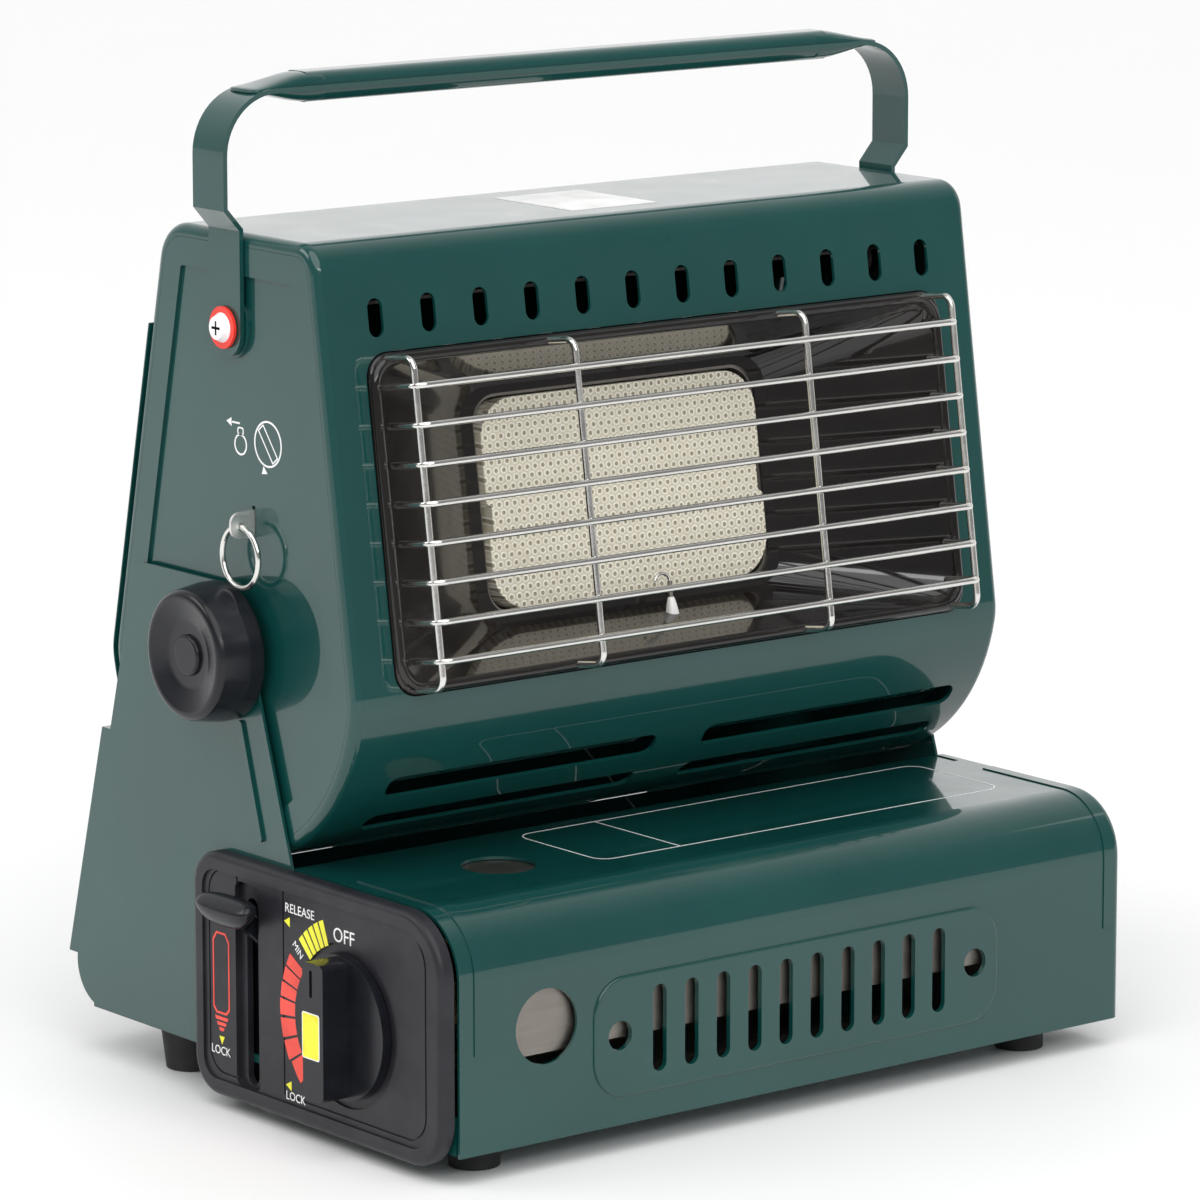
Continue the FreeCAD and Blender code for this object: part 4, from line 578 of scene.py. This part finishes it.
def side_print():
    """Two bare line figures beside the pull ring: a ring with an arrow and a dial with its bar."""
    look = ("head", "case_paint", print_white)
    dial = on_left(SIDE_FACE, -6.0, 214.3)
    slant = dial @ Matrix.Rotation(math.radians(38), 4, "Z")
    ring = on_left(SIDE_FACE, 8.6, 212.4)
    band("figure_dial", circle(7.3, 40), circle(6.7, 40), dial, *look)
    band("figure_bar", rounded(0, 0, 3.6, 12.6, 0.4), rounded(0, 0, 2.7, 11.7, 0.2), slant, *look)
    band("figure_ring", circle(3.4, 32), circle(2.8, 32), ring, *look)
    band("figure_tab", rounded(0, 4.2, 3.4, 2.6, 1.0), rounded(0, 4.2, 2.4, 1.6, 0.6), ring, *look)
    for name, y, z, toward in (("figure_pull", 14.4, 219.0, 90), ("figure_turn", -4.0, 205.6, 250)):
        points = [(-dy, dz) for dy, dz in triangle(1.7, toward)]
        plate(name, points, on_left(SIDE_FACE, y, z), PRINT, *look)
    plate("figure_pull_line", rounded(0, 0, 4.2, 0.6, 0.2), on_left(SIDE_FACE, 11.0, 219.0), PRINT, *look)


def lid_print():
    """White line frame on the lid with one division, and a plain label on top of the head."""
    look = ("lid", "lid_paint", print_white)
    place = on_top(33.5, -47.8, LID_TOP)
    band("lid_frame", rounded(0, 0, 168, 44.4, 6), rounded(0, 0, 167, 43.4, 5.5), place, *look, THIN_PRINT)
    plate("lid_division", rounded(-52, 0, 0.5, 43.8, 0.1), place, THIN_PRINT, *look)
    label = on_top(0.0, 6.8, HEAD_TOP)
    plate("head_label", rounded(0, 0, 35, 41, 1.0), label, 0.08, "head", "case_paint", label_white)


# Small parts that the solids leave plain

def screw_recess():
    """Cross recess on the white screw at each side, drawn as a thin dark cross: painted shade of the recess.
    """
    low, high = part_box("handle_screws")
    reach, half = 2.2, 0.42
    for name, place in (("left", on_left(low[0] / MM - 0.01, *HANDLE_PIVOT)),
                        ("right", on_right(high[0] / MM + 0.01, *HANDLE_PIVOT))):
        cross = []
        for turn in range(4):
            angle = math.radians(90 * turn)
            for u, v in ((reach, -half), (reach, half), (half, half)):
                cross.append((u * math.cos(angle) - v * math.sin(angle),
                              u * math.sin(angle) + v * math.cos(angle)))
        plate(f"screw_cross_shade_{name}", cross, place, 0.01, "head", "screw_white", print_and_painted_shade_dark)


def window_gap_shade():
    """Dark strip in the gap between the front sheet and the reflector's rim: painted shade, so that no light
    shows through the gap.
    """
    plate("window_gap_shade", rounded(0, 0, 231.9, 105.9, 8), leaning(0, WINDOW_UP, -1.0), 0.9, "head", "enamel",
          print_and_painted_shade_dark, [rounded(0, 0, 231.3, 105.3, 7.7)])


def lever_paddle():
    """Cartridge lever with a flared thumb end in place of the plain solid."""
    turn = Matrix.Rotation(math.radians(LEVER_REST), 4, "Y")
    place = Matrix.Translation(Vector(LEVER_PIVOT) * MM) @ turn
    rows = (
        (5.0, 0, 0, 3.8, 7.0), (0.0, 0, 0, 3.8, 8.0), (-28.0, 0, 0, 3.8, 6.2), (-33.5, 0, 0, 4.2, 6.0),
        (-36.0, 0, 0, 7.0, 7.6), (-38.5, 0, -0.6, 13.0, 8.6), (-41.5, 0, -1.2, 24.0, 10.8),
        (-44.4, -0.5, -1.4, 28.5, 10.2), (-46.8, -0.5, -1.6, 28.0, 7.0), (-47.8, -0.5, -1.7, 24.5, 4.0),
    )
    made = skin("lever_body", rows, place, "lever", finishes["knob_black"])
    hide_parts("cartridge_lever")


def dressed_knob():
    """Gas dial: a low disc and a straight bar with rounded edges."""
    look = ("gas_knob", "knob_black", finishes["knob_black"])
    place = on_left(KNOB_FOOT, *DIAL)
    lifted = place @ Matrix.Translation((0, 0, 2.9 * MM))
    disc = soften(plate("knob_disc", circle(22.8, 96), place, 3.0, *look), 1.1, 4)
    soften(plate("knob_bar", rounded(0, 0, 10.6, 43.0, 2.0), lifted, 9.78, *look), 0.7)
    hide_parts("control_knob")


def painted_slot_shades():
    """Dark strips behind the lever's slot, one on each side of its blade: painted shade for the slot's dark
    inside.
    """
    for name, y in (("front", -10.2), ("back", 6.2)):
        outline = rounded(-y, 41, 11.4, 68, 1.0)
        plate(f"slot_shade_{name}", outline, on_left(SLOT_BACK), 0.5, "base", "panel_black", print_and_painted_shade_dark)


def window_bead():
    """Rolled glossy lip round the reflector's mouth."""
    curve = round_bar("window_bead", 1.7, 4)
    line = curve.splines.new("POLY")
    points = rounded(0, 0, 227.6, 101.4, 8.6, 10)
    line.points.add(len(points) - 1)
    for knot, (x, y) in zip(line.points, points):
        knot.co = (x * MM, y * MM, 0.0, 1.0)
    line.use_cyclic_u = True
    from_curve("window_bead", curve, leaning(0, WINDOW_UP, 0.7), "head", finishes["enamel"])


def dressed_tile():
    """Burner tile with well-rounded corners and its two edge notches."""
    half, notch = 56.0, 1.8
    corners = rounded(0, 0, 2 * half, 67, 13, 8)
    middle = len(corners) // 2
    left = [(-half, 0.8), (notch - half, -0.4), (notch - half, -8.2), (-half, -9.4)]
    right = [(half, -7.4), (half - notch, -6.2), (half - notch, 1.8), (half, 3.0)]
    points = corners[:middle] + left + corners[middle:] + right
    made = plate("burner_tile", points, leaning(0, WINDOW_UP, -38.4), 13.0, "head", "tile", finishes["tile"])
    soften(made, 0.8, 2)
    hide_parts("ceramic_tile")


def spark_plug():
    """Tapered spark insulator with its hooked wire."""
    place = leaning(9.0, 0.0, -19.0)
    upright = place @ Matrix.Rotation(math.radians(90), 4, "Z")
    rows = ((-13.0, 0, 0, 5.0, 5.0), (-7.0, 0, 0, 4.9, 4.9), (-6.0, 0, 0, 4.2, 4.2), (-2.5, 0, 0, 3.0, 3.0),
            (-0.6, 0, 0, 2.2, 2.2), (0.0, 0, 0, 1.6, 1.6))
    made = skin("spark_sleeve", rows, upright, "head", finishes["ceramic_white"])
    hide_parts("spark_insulator")
    hook = ((0, 3.6, 0), (-0.4, 6.0, 0.2), (-2.4, 7.6, 0.6), (-5.2, 7.4, 0.8), (-6.6, 5.6, 0.6))
    wire("spark_hook", hook, 0.55, place, "head", finishes["nickel"])


def grip_ends():
    """Rolled ends of the grip that taper into the strap."""
    sections = (  # along, width and height
        (97.0, 14.8, 9.3), (100.5, 15.3, 9.6), (105.5, 15.3, 9.6), (109.0, 15.1, 8.7),
        (114.0, 15.0, 6.6), (119.0, 15.0, 4.2), (124.0, 15.0, 2.3), (127.0, 14.6, 1.6),
    )
    for name, sign in (("left", -1), ("right", 1)):
        rows = [(sign * along, 0, 0, width, height) for along, width, height in sections]
        skin(f"grip_end_{name}", rows, on_top(*GRIP), "handle", finishes["handle_paint"])


panel_print()
side_print()
lid_print()
screw_recess()
window_gap_shade()
lever_paddle()
dressed_knob()
painted_slot_shades()
window_bead()
dressed_tile()
spark_plug()
grip_ends()


# Room, light and camera, in metres

def stage_floor():
    """A wide pale floor just under the feet."""
    half, drop = 40, 0.0002
    mesh = bpy.data.meshes.new("floor")
    build = bmesh.new()
    corners = ((-half, -half), (half, -half), (half, half), (-half, half))
    build.faces.new([build.verts.new((x, y, -drop)) for x, y in corners])
    build.to_mesh(mesh)
    build.free()
    made = bpy.data.objects.new("floor", mesh)
    bpy.context.scene.collection.objects.link(made)
    floor = Finish("floor_paint", (0.95, 0.95, 0.95), 0.6)
    floor.vary_rough(8.0, 0.55, 0.65)
    made.data.materials.append(floor.material)


def lamp(name, place, aim, size, power, wide):
    """A rectangular light that points at a place and that the camera doesn't see."""
    light = bpy.data.lights.new(name, "AREA")
    light.shape = "RECTANGLE"
    light.size = size
    light.size_y = wide
    light.energy = power
    made = bpy.data.objects.new(name, light)
    made.location = place
    made.rotation_euler = (Vector(aim) - Vector(place)).to_track_quat("-Z", "Y").to_euler()
    made.visible_camera = False
    bpy.context.scene.collection.objects.link(made)


def sun(name, toward, power, spread):
    """A far light along a direction, its spread in degrees."""
    light = bpy.data.lights.new(name, "SUN")
    light.energy = power
    light.angle = math.radians(spread)
    made = bpy.data.objects.new(name, light)
    made.rotation_euler = Vector(toward).to_track_quat("-Z", "Y").to_euler()
    bpy.context.scene.collection.objects.link(made)


def room():
    """Plain light all round: white to the eye, brighter in gloss behind the object than before it."""
    world = bpy.data.worlds.new("room")
    world.use_nodes = True
    tree = world.node_tree
    back = tree.nodes["Background"]
    path = tree.nodes.new("ShaderNodeLightPath")
    coords = tree.nodes.new("ShaderNodeTexCoord")
    facing = tree.nodes.new("ShaderNodeVectorMath")
    facing.operation = "DOT_PRODUCT"
    facing.inputs[1].default_value = (0.56, 0.80, 0.20)
    tree.links.new(coords.outputs["Generated"], facing.inputs[0])
    gloss = tree.nodes.new("ShaderNodeMapRange")
    for key, value in (("From Min", 0.1), ("From Max", 0.95), ("To Min", 0.25), ("To Max", 1.05)):
        gloss.inputs[key].default_value = value
    tree.links.new(facing.outputs["Value"], gloss.inputs["Value"])

    def pick(factor, first, second):
        made = tree.nodes.new("ShaderNodeMix")
        made.data_type = "FLOAT"
        tree.links.new(factor, made.inputs[0])
        for index, value in ((2, first), (3, second)):
            if isinstance(value, float):
                made.inputs[index].default_value = value
            else:
                tree.links.new(value, made.inputs[index])
        return made.outputs[0]

    level = pick(path.outputs["Is Glossy Ray"], 0.50, gloss.outputs["Result"])
    level = pick(path.outputs["Is Camera Ray"], level, 1.0)
    tree.links.new(level, back.inputs["Strength"])
    back.inputs["Color"].default_value = (1.0, 1.0, 1.0, 1.0)
    bpy.context.scene.world = world


def studio():
    """Room light, one broad key from above and three boxes that draw the glosses."""
    room()
    sun("key", (0.35, 0.55, -0.95), 2.0, 70)
    lamp("left_box", (-1.35, 0.75, 1.25), (-0.1, 0, 0.17), 1.0, 6.5, 0.7)
    lamp("front_strip", (-0.5, -1.9, 1.1), (0, 0, 0.15), 1.3, 5.0, 0.25)
    lamp("right_strip", (1.6, -0.6, 0.9), (0, 0, 0.15), 0.3, 1.2, 1.1)


def camera():
    """The camera of the perspective fit of the photograph."""
    data = bpy.data.cameras.new("camera")
    data.sensor_width = 36.0
    data.lens = 184.93
    data.shift_x = -0.0146
    data.shift_y = -0.0951
    data.clip_start = 0.05
    data.clip_end = 50.0
    made = bpy.data.objects.new("camera", data)
    made.location = (-1.2120, -1.5362, 0.5246)
    made.rotation_euler = (math.radians(80.197), 0.0, math.radians(-38.54))
    bpy.context.scene.collection.objects.link(made)
    bpy.context.scene.camera = made


stage_floor()
studio()
camera()
bpy.context.scene.view_settings.view_transform = "Standard"
